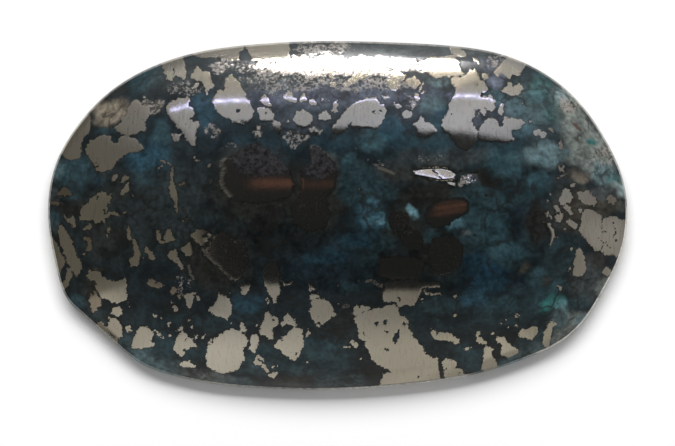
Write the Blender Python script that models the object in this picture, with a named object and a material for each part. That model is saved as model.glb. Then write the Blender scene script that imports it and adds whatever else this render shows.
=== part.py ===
"""A polished turquoise cabochon: one stone with a domed face, a narrow girdle and a flat back.

Metres, +Z up. The origin is the middle of the flat back. X runs along the stone and Y across it.
"""

import math

import bmesh
import bpy
import numpy as np

HALF_LENGTH = 0.0231
HALF_WIDTH = 0.0139

# The widest line of the stone, seen from above, anticlockwise from its right-hand end.
# Hand cutting left a long flat at the lower left, a shorter one at the upper left, and a fuller right-hand end.
OUTLINE = (
    (0.02312, -0.00040),
    (0.02284, 0.00264),
    (0.02136, 0.00608),
    (0.01904, 0.00928),
    (0.01624, 0.01148),
    (0.01296, 0.01288),
    (0.00896, 0.01354),
    (0.00400, 0.01382),
    (-0.00200, 0.01390),
    (-0.00704, 0.01362),
    (-0.01104, 0.01306),
    (-0.01504, 0.01178),
    (-0.01824, 0.00986),
    (-0.02108, 0.00680),
    (-0.02256, 0.00408),
    (-0.02314, 0.00136),
    (-0.02308, -0.00120),
    (-0.02250, -0.00424),
    (-0.02152, -0.00688),
    (-0.02056, -0.00782),
    (-0.01896, -0.00924),
    (-0.01720, -0.01080),
    (-0.01568, -0.01190),
    (-0.01352, -0.01274),
    (-0.01104, -0.01332),
    (-0.00544, -0.01388),
    (-0.00020, -0.01396),
    (0.00576, -0.01356),
    (0.01136, -0.01264),
    (0.01540, -0.01132),
    (0.01796, -0.01006),
    (0.01960, -0.00856),
    (0.02120, -0.00608),
    (0.02256, -0.00328),
)

BACK_BEVEL = 0.00035
GIRDLE_TOP = 0.00130
GIRDLE_LEAN = 0.00020
# The dome, in shares of the stone's half width: a round arc, and a low shoulder that steepens its last tenth.
DOME_ARC = 1.50
SHOULDER_RISE = 0.05
SHOULDER_POWER = 16

SEGMENTS = 128
DOME_RINGS = 20
CREASE_ANGLE = math.radians(25)

STONE_COLOUR = (0.030, 0.095, 0.130, 1.0)
STONE_ROUGHNESS = 0.12
STONE_METALLIC = 0.25


def closed_spline(points, count):
    """Evenly spaced points along the smooth closed curve through the given ones, a periodic cubic spline."""
    knots = np.array(points)
    ahead = np.roll(knots, -1, axis=0)
    steps = np.linalg.norm(ahead - knots, axis=1)
    before = np.roll(steps, 1)
    size = len(knots)
    index = np.arange(size)
    system = np.zeros((size, size))
    system[index, index] = 2 * (before + steps)
    system[index, (index - 1) % size] = before
    system[index, (index + 1) % size] = steps
    slopes = (ahead - knots) / steps[:, None]
    bends = np.linalg.solve(system, 6 * (slopes - np.roll(slopes, 1, axis=0)))
    bends_ahead = np.roll(bends, -1, axis=0)

    share = np.linspace(0, 1, 64, endpoint=False)[None, :, None]
    left = 1 - share
    curve = (
        left * knots[:, None]
        + share * ahead[:, None]
        + ((left**3 - left) * bends[:, None] + (share**3 - share) * bends_ahead[:, None])
        * steps[:, None, None] ** 2
        / 6
    ).reshape(-1, 2)

    closed = np.vstack([curve, curve[:1]])
    travelled = np.concatenate([[0], np.cumsum(np.linalg.norm(np.diff(closed, axis=0), axis=1))])
    wanted = np.linspace(0, travelled[-1], count, endpoint=False)
    return np.column_stack([np.interp(wanted, travelled, closed[:, axis]) for axis in (0, 1)])


def inset(outline, distance):
    """The outline moved inwards by a distance, along its own normals."""
    along = np.roll(outline, -1, axis=0) - np.roll(outline, 1, axis=0)
    along /= np.linalg.norm(along, axis=1)[:, None]
    inwards = np.column_stack([-along[:, 1], along[:, 0]])
    return outline + inwards * distance


def dome_ring(edge, share):
    """One level line of the dome: the edge shrunk to a share of its size, and rounder towards the top."""
    direction = edge / np.linalg.norm(edge, axis=1)[:, None]
    reach = 1 / np.hypot(direction[:, 0] / HALF_LENGTH, direction[:, 1] / HALF_WIDTH)
    oval = direction * reach[:, None]
    return share * (share**2 * edge + (1 - share**2) * oval)


def dome_height(share):
    """Height of the level line that is a share of the edge's size: arc plus shoulder, both zero at the edge."""
    arc = math.sqrt(DOME_ARC**2 - share**2) - math.sqrt(DOME_ARC**2 - 1)
    shoulder = SHOULDER_RISE * (1 - share**SHOULDER_POWER)
    return GIRDLE_TOP + HALF_WIDTH * (arc + shoulder)


def stone_rings():
    """The stone's level lines as (outline, height) pairs, from the flat back up to just below the top."""
    widest = closed_spline(OUTLINE, SEGMENTS)
    edge = inset(widest, GIRDLE_LEAN)
    rings = [(inset(widest, BACK_BEVEL), 0.0), (widest, BACK_BEVEL)]
    for step in range(DOME_RINGS):
        share = math.cos(math.pi / 2 * step / DOME_RINGS)
        rings.append((dome_ring(edge, share), dome_height(share)))
    return rings


def stone_material():
    """Dark blue polished stone with brassy grains, as one average finish."""
    material = bpy.data.materials.new("polished_turquoise")
    material.use_nodes = True
    surface = material.node_tree.nodes["Principled BSDF"]
    surface.inputs["Base Color"].default_value = STONE_COLOUR
    surface.inputs["Roughness"].default_value = STONE_ROUGHNESS
    surface.inputs["Metallic"].default_value = STONE_METALLIC
    return material


def build_cabochon():
    """The whole stone as one closed mesh: a flat back, a bevel, the girdle and the dome."""
    shape = bmesh.new()
    rings = stone_rings()
    loops = [[shape.verts.new((x, y, height)) for x, y in ring] for ring, height in rings]
    for lower, upper in zip(loops, loops[1:]):
        for here in range(SEGMENTS):
            there = (here + 1) % SEGMENTS
            shape.faces.new((lower[here], lower[there], upper[there], upper[here]))
    peak = shape.verts.new((0, 0, dome_height(0)))
    for here in range(SEGMENTS):
        shape.faces.new((loops[-1][here], loops[-1][(here + 1) % SEGMENTS], peak))
    shape.faces.new(reversed(loops[0]))

    mesh = bpy.data.meshes.new("cabochon")
    shape.to_mesh(mesh)
    shape.free()
    mesh.shade_smooth()
    mesh.set_sharp_from_angle(angle=CREASE_ANGLE)
    mesh.materials.append(stone_material())
    stone = bpy.data.objects.new("cabochon", mesh)
    bpy.context.scene.collection.objects.link(stone)
    return stone


def main():
    for old in list(bpy.data.objects):
        bpy.data.objects.remove(old)
    build_cabochon()


main()
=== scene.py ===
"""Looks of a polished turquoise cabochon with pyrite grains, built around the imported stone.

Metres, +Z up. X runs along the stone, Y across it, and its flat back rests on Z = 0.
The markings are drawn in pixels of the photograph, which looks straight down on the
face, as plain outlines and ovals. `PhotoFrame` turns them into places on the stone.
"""

import logging
import math
from dataclasses import dataclass, field
from enum import Enum
from functools import reduce

import bpy
import numpy as np
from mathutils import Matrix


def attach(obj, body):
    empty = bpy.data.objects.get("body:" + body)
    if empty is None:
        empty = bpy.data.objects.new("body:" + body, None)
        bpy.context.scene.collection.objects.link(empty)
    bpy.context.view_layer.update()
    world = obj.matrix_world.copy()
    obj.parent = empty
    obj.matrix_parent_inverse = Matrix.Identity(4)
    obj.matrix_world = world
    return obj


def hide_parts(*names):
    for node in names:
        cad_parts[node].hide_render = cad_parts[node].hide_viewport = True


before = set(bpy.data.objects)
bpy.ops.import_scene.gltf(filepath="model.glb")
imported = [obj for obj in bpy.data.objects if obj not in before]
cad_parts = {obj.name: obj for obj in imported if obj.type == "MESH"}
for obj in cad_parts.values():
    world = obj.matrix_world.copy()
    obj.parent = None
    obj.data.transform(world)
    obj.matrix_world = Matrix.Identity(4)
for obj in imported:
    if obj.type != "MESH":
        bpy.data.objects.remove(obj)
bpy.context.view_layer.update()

MM = 0.001
DEGREES = 180 / math.pi
TINY = 1e-12
WAVE_SPREAD = (0.7, 1.5)
WAVE_LEVEL = 1.5
NOISE_MIDDLE = (0.5, 0.5, 0.5)
NODE = "cabochon"

Pair = tuple[float, float]
Triple = tuple[float, float, float]
Colour = Triple
Climb = tuple[float, float, float, float]
Socket = bpy.types.NodeSocket
Value = Socket | float | tuple[float, ...]

log = logging.getLogger("cabochon")


class Tone(Enum):
    """Colours of the stone between its grains, as the share of light that each gives back."""

    GROUND = (0.0050, 0.0095, 0.0115)
    INK = (0.0055, 0.0072, 0.0075)
    MATRIX = (0.0098, 0.0105, 0.0090)
    ASH = (0.0150, 0.0165, 0.0155)
    SLATE = (0.0110, 0.0155, 0.0165)
    NAVY = (0.0060, 0.0110, 0.0150)
    INDIGO = (0.0055, 0.0185, 0.0290)
    DEEP_TEAL = (0.0110, 0.0230, 0.0270)
    TEAL = (0.0150, 0.0360, 0.0430)
    BLUE = (0.0105, 0.0310, 0.0440)
    SEA_GREEN = (0.0170, 0.0850, 0.0800)
    MILKY = (0.0630, 0.0980, 0.1050)
    # Painted sheen: a grey veil that stands in for the haze of reflected light near the rims and the
    # bright band.
    HAZE = (0.0450, 0.0520, 0.0530)
    PALE = (0.1500, 0.3000, 0.3500)
    # Painted reflection: a lilac-grey veil that stands in for the sheen of the lamps across the upper
    # face.
    LILAC = (0.0850, 0.0950, 0.1250)
    OLIVE = (0.0280, 0.0260, 0.0190)
    OCHRE = (0.1150, 0.0980, 0.0740)
    RUST = (0.0550, 0.0180, 0.0110)
    CHALK = (0.1200, 0.1350, 0.1220)


class Field(Enum):
    """What the markings give every point of the surface, each the name of a mesh attribute."""

    STONE_COLOUR = "stone_colour"
    PYRITE = "pyrite_depth"
    TARNISH = "tarnish"
    # Painted highlight along the edges of some grains.
    BRIGHT_EDGE = "bright_edge"
    GRANULAR = "granular"
    CRUST = "crust"
    RIM = "dark_rim"
    POLISH = "polish"
    # Pale ground girdle, made brighter at the bottom and the right as a painted rim highlight.
    GROUND_EDGE = "ground_edge"


@dataclass(frozen=True)
class GrainBed:
    """Pyrite grains of one part of the face.

    Outlines and gaps are closed runs of photo pixels, parted by semicolons. Flecks are small round
    grains and pits small round holes, each written as x,y,radius. Tarnish is how far the grains
    have dulled, from 0 to 1.
    """

    name: str
    outlines: str = ""
    gaps: str = ""
    flecks: str = ""
    pits: str = ""
    tarnish: float = 0.0


@dataclass(frozen=True)
class Line:
    """A thin mark along an open run of photo pixels, of one width in pixels."""

    path: str
    width: float


@dataclass(frozen=True)
class Facet:
    """A part of a grain that broke at an angle and was only touched by the polish.

    Rise is the height in millimetres that it climbs over each millimetre along Y.
    """

    outline: str
    rise: float


@dataclass(frozen=True)
class Oval:
    """A soft oval of one tone, or one in which a field is raised.

    Its middle and half axes are in photo pixels, and it is turned anticlockwise in degrees.
    """

    kind: Tone | Field
    middle: Pair
    reach: Pair
    turn: float
    amount: float
    edge: float = 1.15

    def weight(self, pixels: np.ndarray, soft: float) -> np.ndarray:
        """Weight of the oval: 1 in its middle, falling to 0 at its edge by the turned elliptic radius.

        Args:
            pixels: Photo pixels as rows of x and y.
            soft: Share of the radius over which the weight falls.

        Returns:
            One weight for each pixel.
        """
        turn = math.radians(self.turn)
        x, y = (pixels - self.middle).T
        along = x * math.cos(turn) - y * math.sin(turn)
        across = x * math.sin(turn) + y * math.cos(turn)
        radius = np.hypot(along / self.reach[0], across / self.reach[1])
        return smoothstep(-radius, -self.edge, soft - self.edge)


@dataclass(frozen=True)
class Sway:
    """Random shifts of points: their size and wave length, and the start of their random draws."""

    size: float
    length: float
    seed: int


@dataclass(frozen=True)
class Cloud:
    """A soft random pattern for a finish.

    Scale, detail, rough and bend are those of its noise. The pattern climbs from start, where the
    noise is low, to end, where it is high.
    """

    scale: float
    detail: float = 3.0
    rough: float = 0.5
    bend: float = 0.0
    low: float = 0.3
    high: float = 0.7
    start: float = 0.0
    end: float = 1.0


GRAIN_BEDS = (
    GrainBed(
        "left_end",
        outlines="""
    88,113 91,120 90,129 88,134 84,137 82,143 81,156 78,159 71,160 65,158 62,153 56,150 63,136 74,123;
    97,137 105,135 111,136 112,141 114,143 118,143 119,138 124,136 128,136 133,138 139,141 142,145
    144,148 141,151 135,152 130,153 125,154 121,158 118,160 115,163 114,167 112,170 107,171 98,172
    95,168 93,164 90,159 87,154 85,150 87,145 90,141 94,139;
    136,99 139,102 143,105 148,106 150,109 149,113 148,118 146,121 145,126 147,130 145,133 141,131
    137,133 132,135 127,136 122,134 117,131 114,127 119,125 121,121 119,118 121,116 126,115 127,110
    129,105 132,101;
    93,197 97,194 100,192 105,192 108,195 111,194 112,198 110,201 111,205 107,203 106,206 109,209
    107,211 106,214 110,211 115,212 119,214 119,216 115,217 111,214 108,218 105,219 106,224 103,222
    97,222 95,224 93,220 88,220 79,220 81,215 81,210 83,206 88,203 90,199;
    112,176 115,175 118,174 117,178 114,183 112,182;
    121,180 124,176 127,175 129,178 127,180 124,182 122,184;
    128,182 129,185 129,192 126,192 122,196 120,195 121,191 125,186;
    63,215 67,218 70,218 73,216 75,220 76,225 75,229 73,228 72,223 68,223 66,220;
    81,230 86,227 90,223 93,227 89,230 84,230; 107,229 110,226 111,230 109,234;
    105,232 107,235 108,238 106,237;
    61,224 65,228 68,233 72,240 74,248 77,255 81,262 82,267 79,273 78,277 75,276 72,270 68,263 65,256
    62,248 59,240 58,232 59,226;
    48,232 51,233 55,240 59,248 62,255 65,261 66,263 63,267 60,272 58,278 50,268 45,250 45,236;
    67,268 71,270 72,276 70,281 67,286 64,291 61,284 67,276 66,271;
    128,226 130,229 131,234 131,240 128,241 127,235;
    132,240 134,238 137,243 140,250 141,254 139,259 140,263 137,266 131,266 129,262 130,258 134,255
    134,249 133,244; 145,246 149,248 153,253 155,258 152,260 148,256 145,251;
    156,232 158,230 160,232 161,238 162,241 164,241 164,236 166,233 168,229 170,228 171,232 174,237
    175,240 171,242 165,243 160,244 157,240;
    89,267 91,270 97,271 101,273 103,277 106,278 110,280 115,281 120,281 123,279 125,277 126,282 127,288
    126,292 128,296 127,299 123,301 118,303 112,303 109,300 107,298 105,300 101,298 99,294 97,290 94,287
    97,284 95,280 91,281 88,278 84,277 88,274;
    115,307 119,306 122,310 122,313 120,316 118,317 114,315 111,313 112,309;
    108,316 110,318 115,318 119,321 122,327 123,333 122,336 119,339 117,338 113,335 109,333 107,330
    108,325 109,321;
    96,324 99,322 103,322 105,325 107,329 108,333 112,337 117,339 119,345 112,345 100,336 90,326;
    125,328 127,326 130,325 131,327 130,329 133,331 130,331 128,333 127,331;
    140,326 145,326 149,328 152,331 154,335 152,338 151,342 154,343 154,346 150,347 145,348 140,349
    134,349 131,346 133,341 135,336 137,331;
    154,329 157,330 160,333 163,336 165,339 162,338 158,335 156,332;
    171,307 174,305 177,306 178,311 175,312 173,309; 167,322 169,321 171,323 169,324 170,327 168,326;
    176,331 180,327 181,325 184,328 182,331 178,332;
    183,332 186,334 190,338 194,341 195,344 198,347 197,348 194,346 190,347 188,350 185,350 184,348
    183,350 184,353 183,357 181,357 178,354 174,350 173,348 175,344 176,338 179,334;
    182,361 186,361 190,361 193,364 196,366 195,368 191,367 184,367 180,365
    """,
        gaps="""
    96,161 98,163 98,168 96,167; 97,196 99,197 99,201 97,200; 104,209 106,211 105,214 103,212
    """,
        flecks="""
    155,316,2 161,318,1 172,302,1.2 170,336,1.3 144,258,1.2 133,195,1.2 125,213,1.2 84,254,1.5 109,98,1
    89,116,1 144,97,1.5 129,303,0.9 129,306,0.9
    """,
        pits="93,302,1.3 186,340,1.2 106,325,2",
    ),
    GrainBed(
        "left_dulled",
        outlines="""
    57,195 60,190 64,187 68,188 71,192 72,196 66,196; 51,201 57,201 62,204 57,206 50,203;
    82,240 84,237 88,236 91,239 92,244 92,250 89,252 86,250 88,246 87,242 85,240;
    147,283 150,279 154,279 158,282 163,284 164,286 158,288 153,287 149,286;
    170,290 173,287 178,289 176,293 174,295 170,294; 177,296 181,293 182,297 179,299;
    90,293 93,296 94,291 97,293 99,298 102,303 101,306 97,309 95,312 93,313 91,309 90,304 89,299
    """,
        pits="156,283,1.2",
        tarnish=0.55,
    ),
    GrainBed(
        "left_middle",
        outlines="""
    171,169 173,168 174,172 174,180 175,185 177,190 178,195 178,200 178,206 178,211 177,213 175,210
    174,207 175,203 172,199 170,194 169,189 169,186 171,182 170,176;
    160,160 165,161 170,163 174,166 172,166 167,164 162,162; 158,169 160,166 164,165 161,168;
    194,155 196,158 198,160 201,160 201,161 196,162 194,159; 209,162 213,163 213,166 211,168 208,166;
    171,134 177,134 181,134 180,138 178,142 175,141 172,138; 211,180 213,179 212,183 210,184;
    181,249 185,245 189,242 192,244 193,250 192,256 186,256 183,253;
    191,237 192,233 197,230 203,229 208,231 212,234 211,238 207,243 202,247 198,244 194,240;
    170,251 176,249 177,253 179,258 182,262 184,268 182,270 179,267 177,262 172,260 169,258 168,254;
    184,295 187,294 191,293 195,292 197,293 194,295 193,300 192,305 191,309 189,310 187,307 186,301;
    196,296 199,296 201,300 198,300
    """,
        flecks="192,327,1.5 189,320,1 211,340,1.5 209,343,1 196,337,1.6",
    ),
    GrainBed(
        "left_middle_bits",
        outlines="""
    177,183 180,184 184,182 185,184 182,185 182,188 179,186; 182,208 185,210 187,213 185,213;
    186,215 189,219 187,219; 184,219 185,221 184,224 182,223
    """,
        tarnish=0.35,
    ),
    GrainBed(
        "lower_left",
        outlines="""
    219,291 221,294 224,296 226,295 229,299 231,304 232,310 231,315 228,317 228,320 225,319 221,316
    217,316 212,313 208,310 212,306 215,303 217,298;
    241,284 245,283 250,283 250,289 247,292 245,295 241,295 242,290;
    263,272 264,266 268,262 276,262 280,270 280,278 281,287 280,291 278,296 277,301 275,304 273,301
    271,297 269,294 267,290 264,282; 265,300 267,297 268,300 270,301 268,305 266,302;
    281,278 285,282 288,283 292,280 295,278 292,283 288,285 284,286;
    231,328 236,329 240,331 243,334 246,337 248,341 247,345 243,348 244,353 245,358 245,361 241,363
    240,367 237,370 230,372 223,374 217,372 211,369 207,366 206,360 206,353 208,347 212,343 214,339
    217,336 223,333 227,330; 241,322 243,323 245,327 247,330 246,333 242,331 240,328;
    252,335 256,334 259,335 260,339 258,342 257,347 256,353 252,353 250,350 248,349 251,345 250,339;
    257,355 260,355 263,359 265,362 266,366 269,371 269,373 266,372 263,368 261,365 258,364 255,366
    253,363 255,360; 272,373 277,372 278,374 276,376 275,378 270,378 268,375;
    200,339 203,335 206,333 206,335 203,339;
    268,312 270,314 272,317 275,316 278,317 279,321 278,325 274,327 272,329 273,335 275,341 270,339
    265,336 260,334 259,330 261,327 263,321 265,318 266,314;
    286,314 289,314 292,317 295,320 297,325 294,326 290,325 286,324 282,327 280,325 283,321 284,317;
    295,327 299,328 303,329 302,333 303,338 304,344 302,348 300,353 299,356 295,361 291,360 286,355
    282,352 278,349 274,346 277,342 281,338 282,341 284,336 288,333 290,330;
    307,329 309,331 310,334 308,337 305,337 307,333
    """,
        gaps="295,353 298,352 297,356 295,355",
        flecks="""
    230,293,1.4 231,324,1.2 257,325,1.4 273,367,1 278,366,1 307,363,1.2 338,285,1.2 311,280,1
    422,299,0.9 422,302,0.9
    """,
        pits="274,320,1 222,310,0.7 236,350,0.6",
    ),
    GrainBed(
        "lower_middle",
        outlines="""
    319,299 324,298 328,301 331,304 333,309 336,315 332,317 328,320 325,324 321,325 319,322 315,322
    312,319 310,314 309,310 312,307 311,303 313,300 316,299;
    309,299 311,295 315,293 319,294 320,298 316,298 312,300; 309,284 313,284 316,288 314,290 310,287;
    308,290 310,288 311,291 309,292; 315,324 318,323 320,326 318,327; 343,347 347,346 351,347 347,349;
    349,341 352,340 354,342 357,343 358,348 355,348 352,345;
    353,307 357,305 360,308 363,305 367,306 371,308 376,309 379,307 383,308 387,305 393,304 397,307
    399,311 400,316 404,316 407,319 409,323 408,328 411,332 414,338 418,341 421,345 424,350 426,354
    430,357 438,358 438,364 439,370 441,382 430,385 415,387 400,389 379,390 381,380 383,374 391,372
    389,370 385,368 380,366 376,363 371,359 370,354 368,350 365,346 366,342 360,338 358,332 358,328
    356,325 355,320 352,319 358,316 352,314 354,311;
    445,359 450,359 455,361 457,365 455,368 459,369 462,370 464,373 463,378 455,380 447,382 444,374
    443,368 442,363;
    383,291 384,287 386,282 400,280 420,281 440,282 441,287 424,288 421,290 420,295 418,300 416,304
    411,306 405,305 401,307 397,304 393,302 388,302 384,301 382,296;
    423,290 430,292 440,292 441,295 433,295 425,294;
    368,281 373,281 377,283 382,286 386,283 383,287 377,285; 452,297 455,294 458,295 456,298
    """,
        gaps="""
    383,321 386,319 388,321 386,325 383,324; 401,324 404,321 407,323 405,326;
    384,330 386,331 389,330 388,332 385,332; 399,329 400,332 399,339 396,344 393,343 392,338 395,334;
    384,346 386,348 389,350 387,351 384,349; 363,332 365,334 366,336 364,336;
    398,298 399,297 400,300 399,301
    """,
        flecks="361,359,0.9 455,315,2 346,306,1 348,306,0.9 338,304,0.8",
        pits="377,324,2 418,377,1.3 429,374,1.1 459,373,1.5 447,369,0.8 412,301,0.7 355,316,1.2",
    ),
    GrainBed(
        "lower_right",
        outlines="""
    430,330 433,329 435,332 437,335 439,331 443,332 448,333 452,334 455,337 459,338 459,344 455,344
    453,342 448,341 441,340 435,340 432,336;
    480,331 480,334 479,337 482,337 484,340 487,342 486,344 481,344 477,344 477,340 475,335 477,332;
    485,346 489,346 492,348 494,350 492,352 492,355 495,359 497,364 497,367 490,369 483,371 481,368
    483,364 483,359 484,352; 463,349 467,347 472,347 468,349 466,351;
    496,339 499,336 504,337 507,339 507,343 511,345 515,348 519,350 519,352 515,355 511,357 505,357
    501,355 500,351 502,348 501,343 498,343;
    533,325 537,327 538,330 537,334 534,337 532,340 528,339 525,337 520,338 518,335 518,331 522,329
    528,329;
    551,321 555,322 557,324 554,327 552,330 551,336 550,342 549,347 546,349 543,344 542,339 543,335
    546,330 548,325
    """,
        flecks="""
    507,312,1.3 506,320,1.3 502,324,1.2 508,327,1 517,326,1.7 493,334,1.4 517,316,2.6 475,235,1.2
    486,195,1.4
    """,
        pits="517,316,1 455,336,0.8 436,334,1",
    ),
    GrainBed(
        "upper_left",
        outlines="""
    160,60 184,51 184,60 185,68 187,74 186,78 184,80 180,77 175,76 172,80 167,80 165,74 163,70;
    197,66 200,69 202,71 205,70 208,72 211,76 210,79 212,82 214,86 213,89 208,90 208,95 206,95 205,90
    204,86 202,82 200,81 196,80 193,79 190,76 193,72;
    196,82 199,84 198,87 195,88 193,91 191,90 191,87 194,86;
    191,50 215,45 246,40 244,48 241,52 238,56 239,60 228,60 225,57 215,57 203,58 194,56;
    247,40 290,37 289,56 287,62 262,62 252,60 251,55 248,51 246,48;
    173,100 180,98 185,98 188,96 190,100 188,103 190,106 193,108 195,112 193,117 190,119 190,120 194,121
    198,121 200,124 199,128 197,130 196,135 196,141 196,147 194,147 191,145 189,142 186,139 184,134
    182,131 181,129 177,128 175,124 172,120 169,116 167,111 166,106 169,103;
    231,74 234,77 238,81 241,86 245,92 247,97 250,102 252,107 254,111 253,116 252,119 249,121 247,123
    244,121 238,119 235,119 238,121 243,123 248,125 245,126 240,124 233,123 231,121 229,118 224,117
    219,114 216,110 214,107 213,103 213,98 216,94 218,90 221,89 224,91 225,86 225,79;
    256,109 261,107 266,108 269,108 270,111 273,112 274,116 273,120 268,121 262,121 260,119 259,114;
    261,98 264,94 268,96 268,100 271,104 271,109 267,105 262,104 260,101;
    271,123 276,121 280,121 281,126 281,131 279,136 276,132 273,127; 286,121 289,119 290,122 287,123
    """,
        gaps="236,109 239,109 241,111 238,113 235,111",
        pits="186,124,0.9 266,113,0.9",
    ),
    GrainBed(
        "upper_middle",
        outlines="""
    288,85 289,90 292,93 295,97 298,101 295,103 290,101 285,100 283,95 286,92;
    299,100 302,95 304,92 306,96 306,101 301,102; 308,99 313,99 317,103 315,106 311,105;
    320,100 322,98 324,100 322,102; 333,104 336,100 339,104 337,108 338,111 335,113 331,111 333,108;
    293,121 294,116 297,112 302,110 307,111 311,114 313,119 312,123 308,127 303,128 297,126;
    318,114 322,113 326,111 329,114 332,119 329,120 325,122 322,120 319,120;
    308,132 312,130 316,129 319,132 317,135 312,136;
    337,121 340,118 344,112 350,106 355,102 360,100 366,98 376,97 379,100 380,104 382,106 384,104
    386,109 386,114 384,119 381,124 378,128 373,130 368,128 360,128 352,127 351,122 348,126 345,131
    339,135 334,134 332,131 334,125; 326,62 335,62 335,68 334,76 332,79 329,79 328,74;
    341,86 345,83 349,80 352,77 354,73 356,68 358,65 369,65 370,70 369,75 365,78 360,79 356,82 352,85
    347,87; 328,81 334,82 338,84 336,88 331,87; 386,80 390,79 396,80 401,82 400,87 397,91 392,91 389,88;
    391,76 395,74 401,74 406,75 405,79 400,81 394,79;
    405,82 409,78 415,77 419,80 421,83 418,86 416,89 412,88 408,86; 381,95 385,96 389,96 388,99 384,99;
    413,96 417,93 420,97 419,101 415,101; 418,91 420,87 423,82 424,83 422,88 420,92;
    421,94 424,90 425,91 423,94; 393,102 397,104 402,104 401,108 397,109 394,106;
    410,105 414,103 416,105 413,108 412,110; 402,115 405,111 409,110 412,113 411,117 407,119 403,118;
    413,124 417,122 419,118 421,116 424,119 426,122 430,122 433,125 437,129 438,133 433,134 429,137
    425,138 420,137 417,132 415,127
    """,
        flecks="303,106,0.8 329,101,0.9",
        pits="374,112,1.4 381,111,1.1 376,119,0.6",
    ),
    GrainBed(
        "upper_right",
        outlines="""
    451,79 454,77 460,77 466,75 470,70 476,70 480,78 484,82 488,88 487,92 482,92 481,96 487,97 490,94
    494,98 497,101 494,104 496,108 492,112 488,110 485,108 487,113 487,116 482,114 479,109 474,110
    475,115 472,120 474,126 477,132 477,139 473,147 466,151 458,148 452,140 449,135 443,131 441,127
    442,121 446,114 450,108 449,104 452,99 455,94 456,89 452,84;
    421,64 426,59 433,57 442,57 449,54 455,57 459,62 460,68 464,74 455,77 445,76 436,78 430,75 424,71;
    449,47 456,47 464,50 467,57 460,56 454,55 450,52; 472,58 476,58 479,61 480,64 476,62;
    482,75 485,72 489,75 487,79 483,80;
    494,72 497,68 500,64 505,59 510,56 518,60 526,66 522,71 520,75 514,75 511,75 510,79 506,77 503,74
    500,74 499,77 496,75;
    500,91 504,88 507,87 508,82 511,81 513,87 516,85 520,83 523,87 522,91 519,95 512,96 508,94 503,93;
    500,104 503,103 505,106 503,109 505,112 501,115 497,112 499,108;
    480,128 482,124 486,120 490,118 495,118 498,122 499,126 501,127 503,124 503,118 505,115 508,118
    515,118 521,119 526,123 522,126 520,129 515,130 511,129 512,134 514,141 506,143 495,142 480,141
    478,134; 533,131 537,129 541,130 540,132 544,131 547,133 546,138 541,138 539,134 537,137 533,136
    """,
        flecks="530,122,1.4 523,104,0.8 531,106,0.7 509,99,0.8 491,84,0.8 492,92,0.8",
        pits="477,84,1 452,114,0.9 500,133,0.8",
    ),
    GrainBed(
        "right_end",
        outlines="""
    563,190 566,188 570,189 571,194 573,198 571,202 566,204 560,205 558,199 561,196;
    570,186 573,183 575,184 572,187;
    575,190 578,192 582,192 585,190 589,191 592,195 596,198 597,203 595,206 590,205 586,204 581,202
    578,199 578,194;
    552,206 555,205 558,207 561,210 563,214 563,219 561,223 558,223 556,220 554,217 557,215 555,212
    554,209; 562,206 567,205 571,207 571,210 574,213 573,216 569,214 567,210 563,208;
    577,210 580,208 583,209 580,212; 566,222 569,219 572,221 575,222 578,224 577,228 574,229 570,226;
    548,210 550,214 553,219 551,219 549,215; 544,211 546,212 548,217 547,218 545,215;
    545,198 548,200 549,203 547,202;
    543,221 546,223 550,224 553,229 555,234 554,239 552,243 550,246 549,245 550,240 551,234 549,229
    546,225;
    583,211 588,209 594,211 598,214 603,216 608,217 615,216 621,219 629,221 631,235 627,249 623,257
    617,257 613,254 608,256 604,254 600,251 595,251 592,247 589,243 586,239 582,235 579,231 579,228
    581,223 581,216;
    577,249 580,247 582,251 584,256 585,262 586,268 585,273 582,276 577,277 573,275 573,269 574,264
    573,260 576,258 574,255; 569,266 571,267 571,271 569,272 568,269;
    604,268 608,267 612,271 609,276 605,276 602,272; 556,286 560,285 562,287 561,292 559,291 559,288
    """,
        gaps="556,211 559,212 560,214 557,214",
        flecks="565,229,1.3 558,237,1.2 571,249,1.4 550,194,1.2",
        pits="585,227,0.9 605,217,0.9 616,240,1.2 606,231,0.9",
    ),
    GrainBed(
        "right_dulled",
        outlines="""
    548,129 550,127 553,130 556,133 552,133; 560,139 562,139 563,145 562,150 559,150 559,144;
    607,196 611,194 615,197 617,201 614,205 609,203 607,200;
    558,164 562,163 565,167 564,171 560,173 558,169; 556,178 561,176 567,173 568,174 563,177 558,179
    """,
        pits="561,166,1.1",
        tarnish=0.5,
    ),
    GrainBed(
        "middle_left",
        outlines="""
    225,160 221,162 221,165 224,168 226,171 223,173 221,176 221,182 222,187 226,191 230,195 233,200
    250,203 270,202 290,196 295,185 290,170 278,158 270,150 265,148 261,146 257,142 252,144 247,146
    240,150 236,153 230,156;
    311,149 312,146 320,147 327,155 335,163 337,172 335,188 325,198 330,215 325,228 308,232 294,222
    290,205 300,198 303,185 300,170 311,165;
    205,250 210,243 214,236 222,232 235,238 243,242 247,250 248,262 244,270 240,278 235,281 230,277
    224,272 218,265 212,260 207,255
    """,
        tarnish=0.25,
    ),
    GrainBed(
        "broken",
        outlines="""
    413,170 425,168 437,167 446,168 452,170 456,175 454,180 446,180 440,181 432,179 424,177 415,175;
    446,181 452,180 456,183 455,187 449,186
    """,
        flecks="468,177,1.6 471,173,1.2 474,180,1.2 469,183,1.4 461,171,1.5 466,182,1 477,176,1",
    ),
    GrainBed(
        "middle_right",
        outlines="""
    432,204 440,200 450,198 463,198 469,202 469,210 464,215 455,219 448,225 438,228 428,224 424,215;
    388,220 392,214 400,212 408,214 409,220 406,228 398,232 391,229;
    432,240 440,236 456,238 463,246 462,262 452,272 440,275 430,266 428,250;
    402,232 410,228 420,232 424,242 420,250 410,250 402,242;
    380,258 395,256 420,258 425,264 418,278 392,279 378,275
    """,
        tarnish=0.25,
    ),
)

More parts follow.
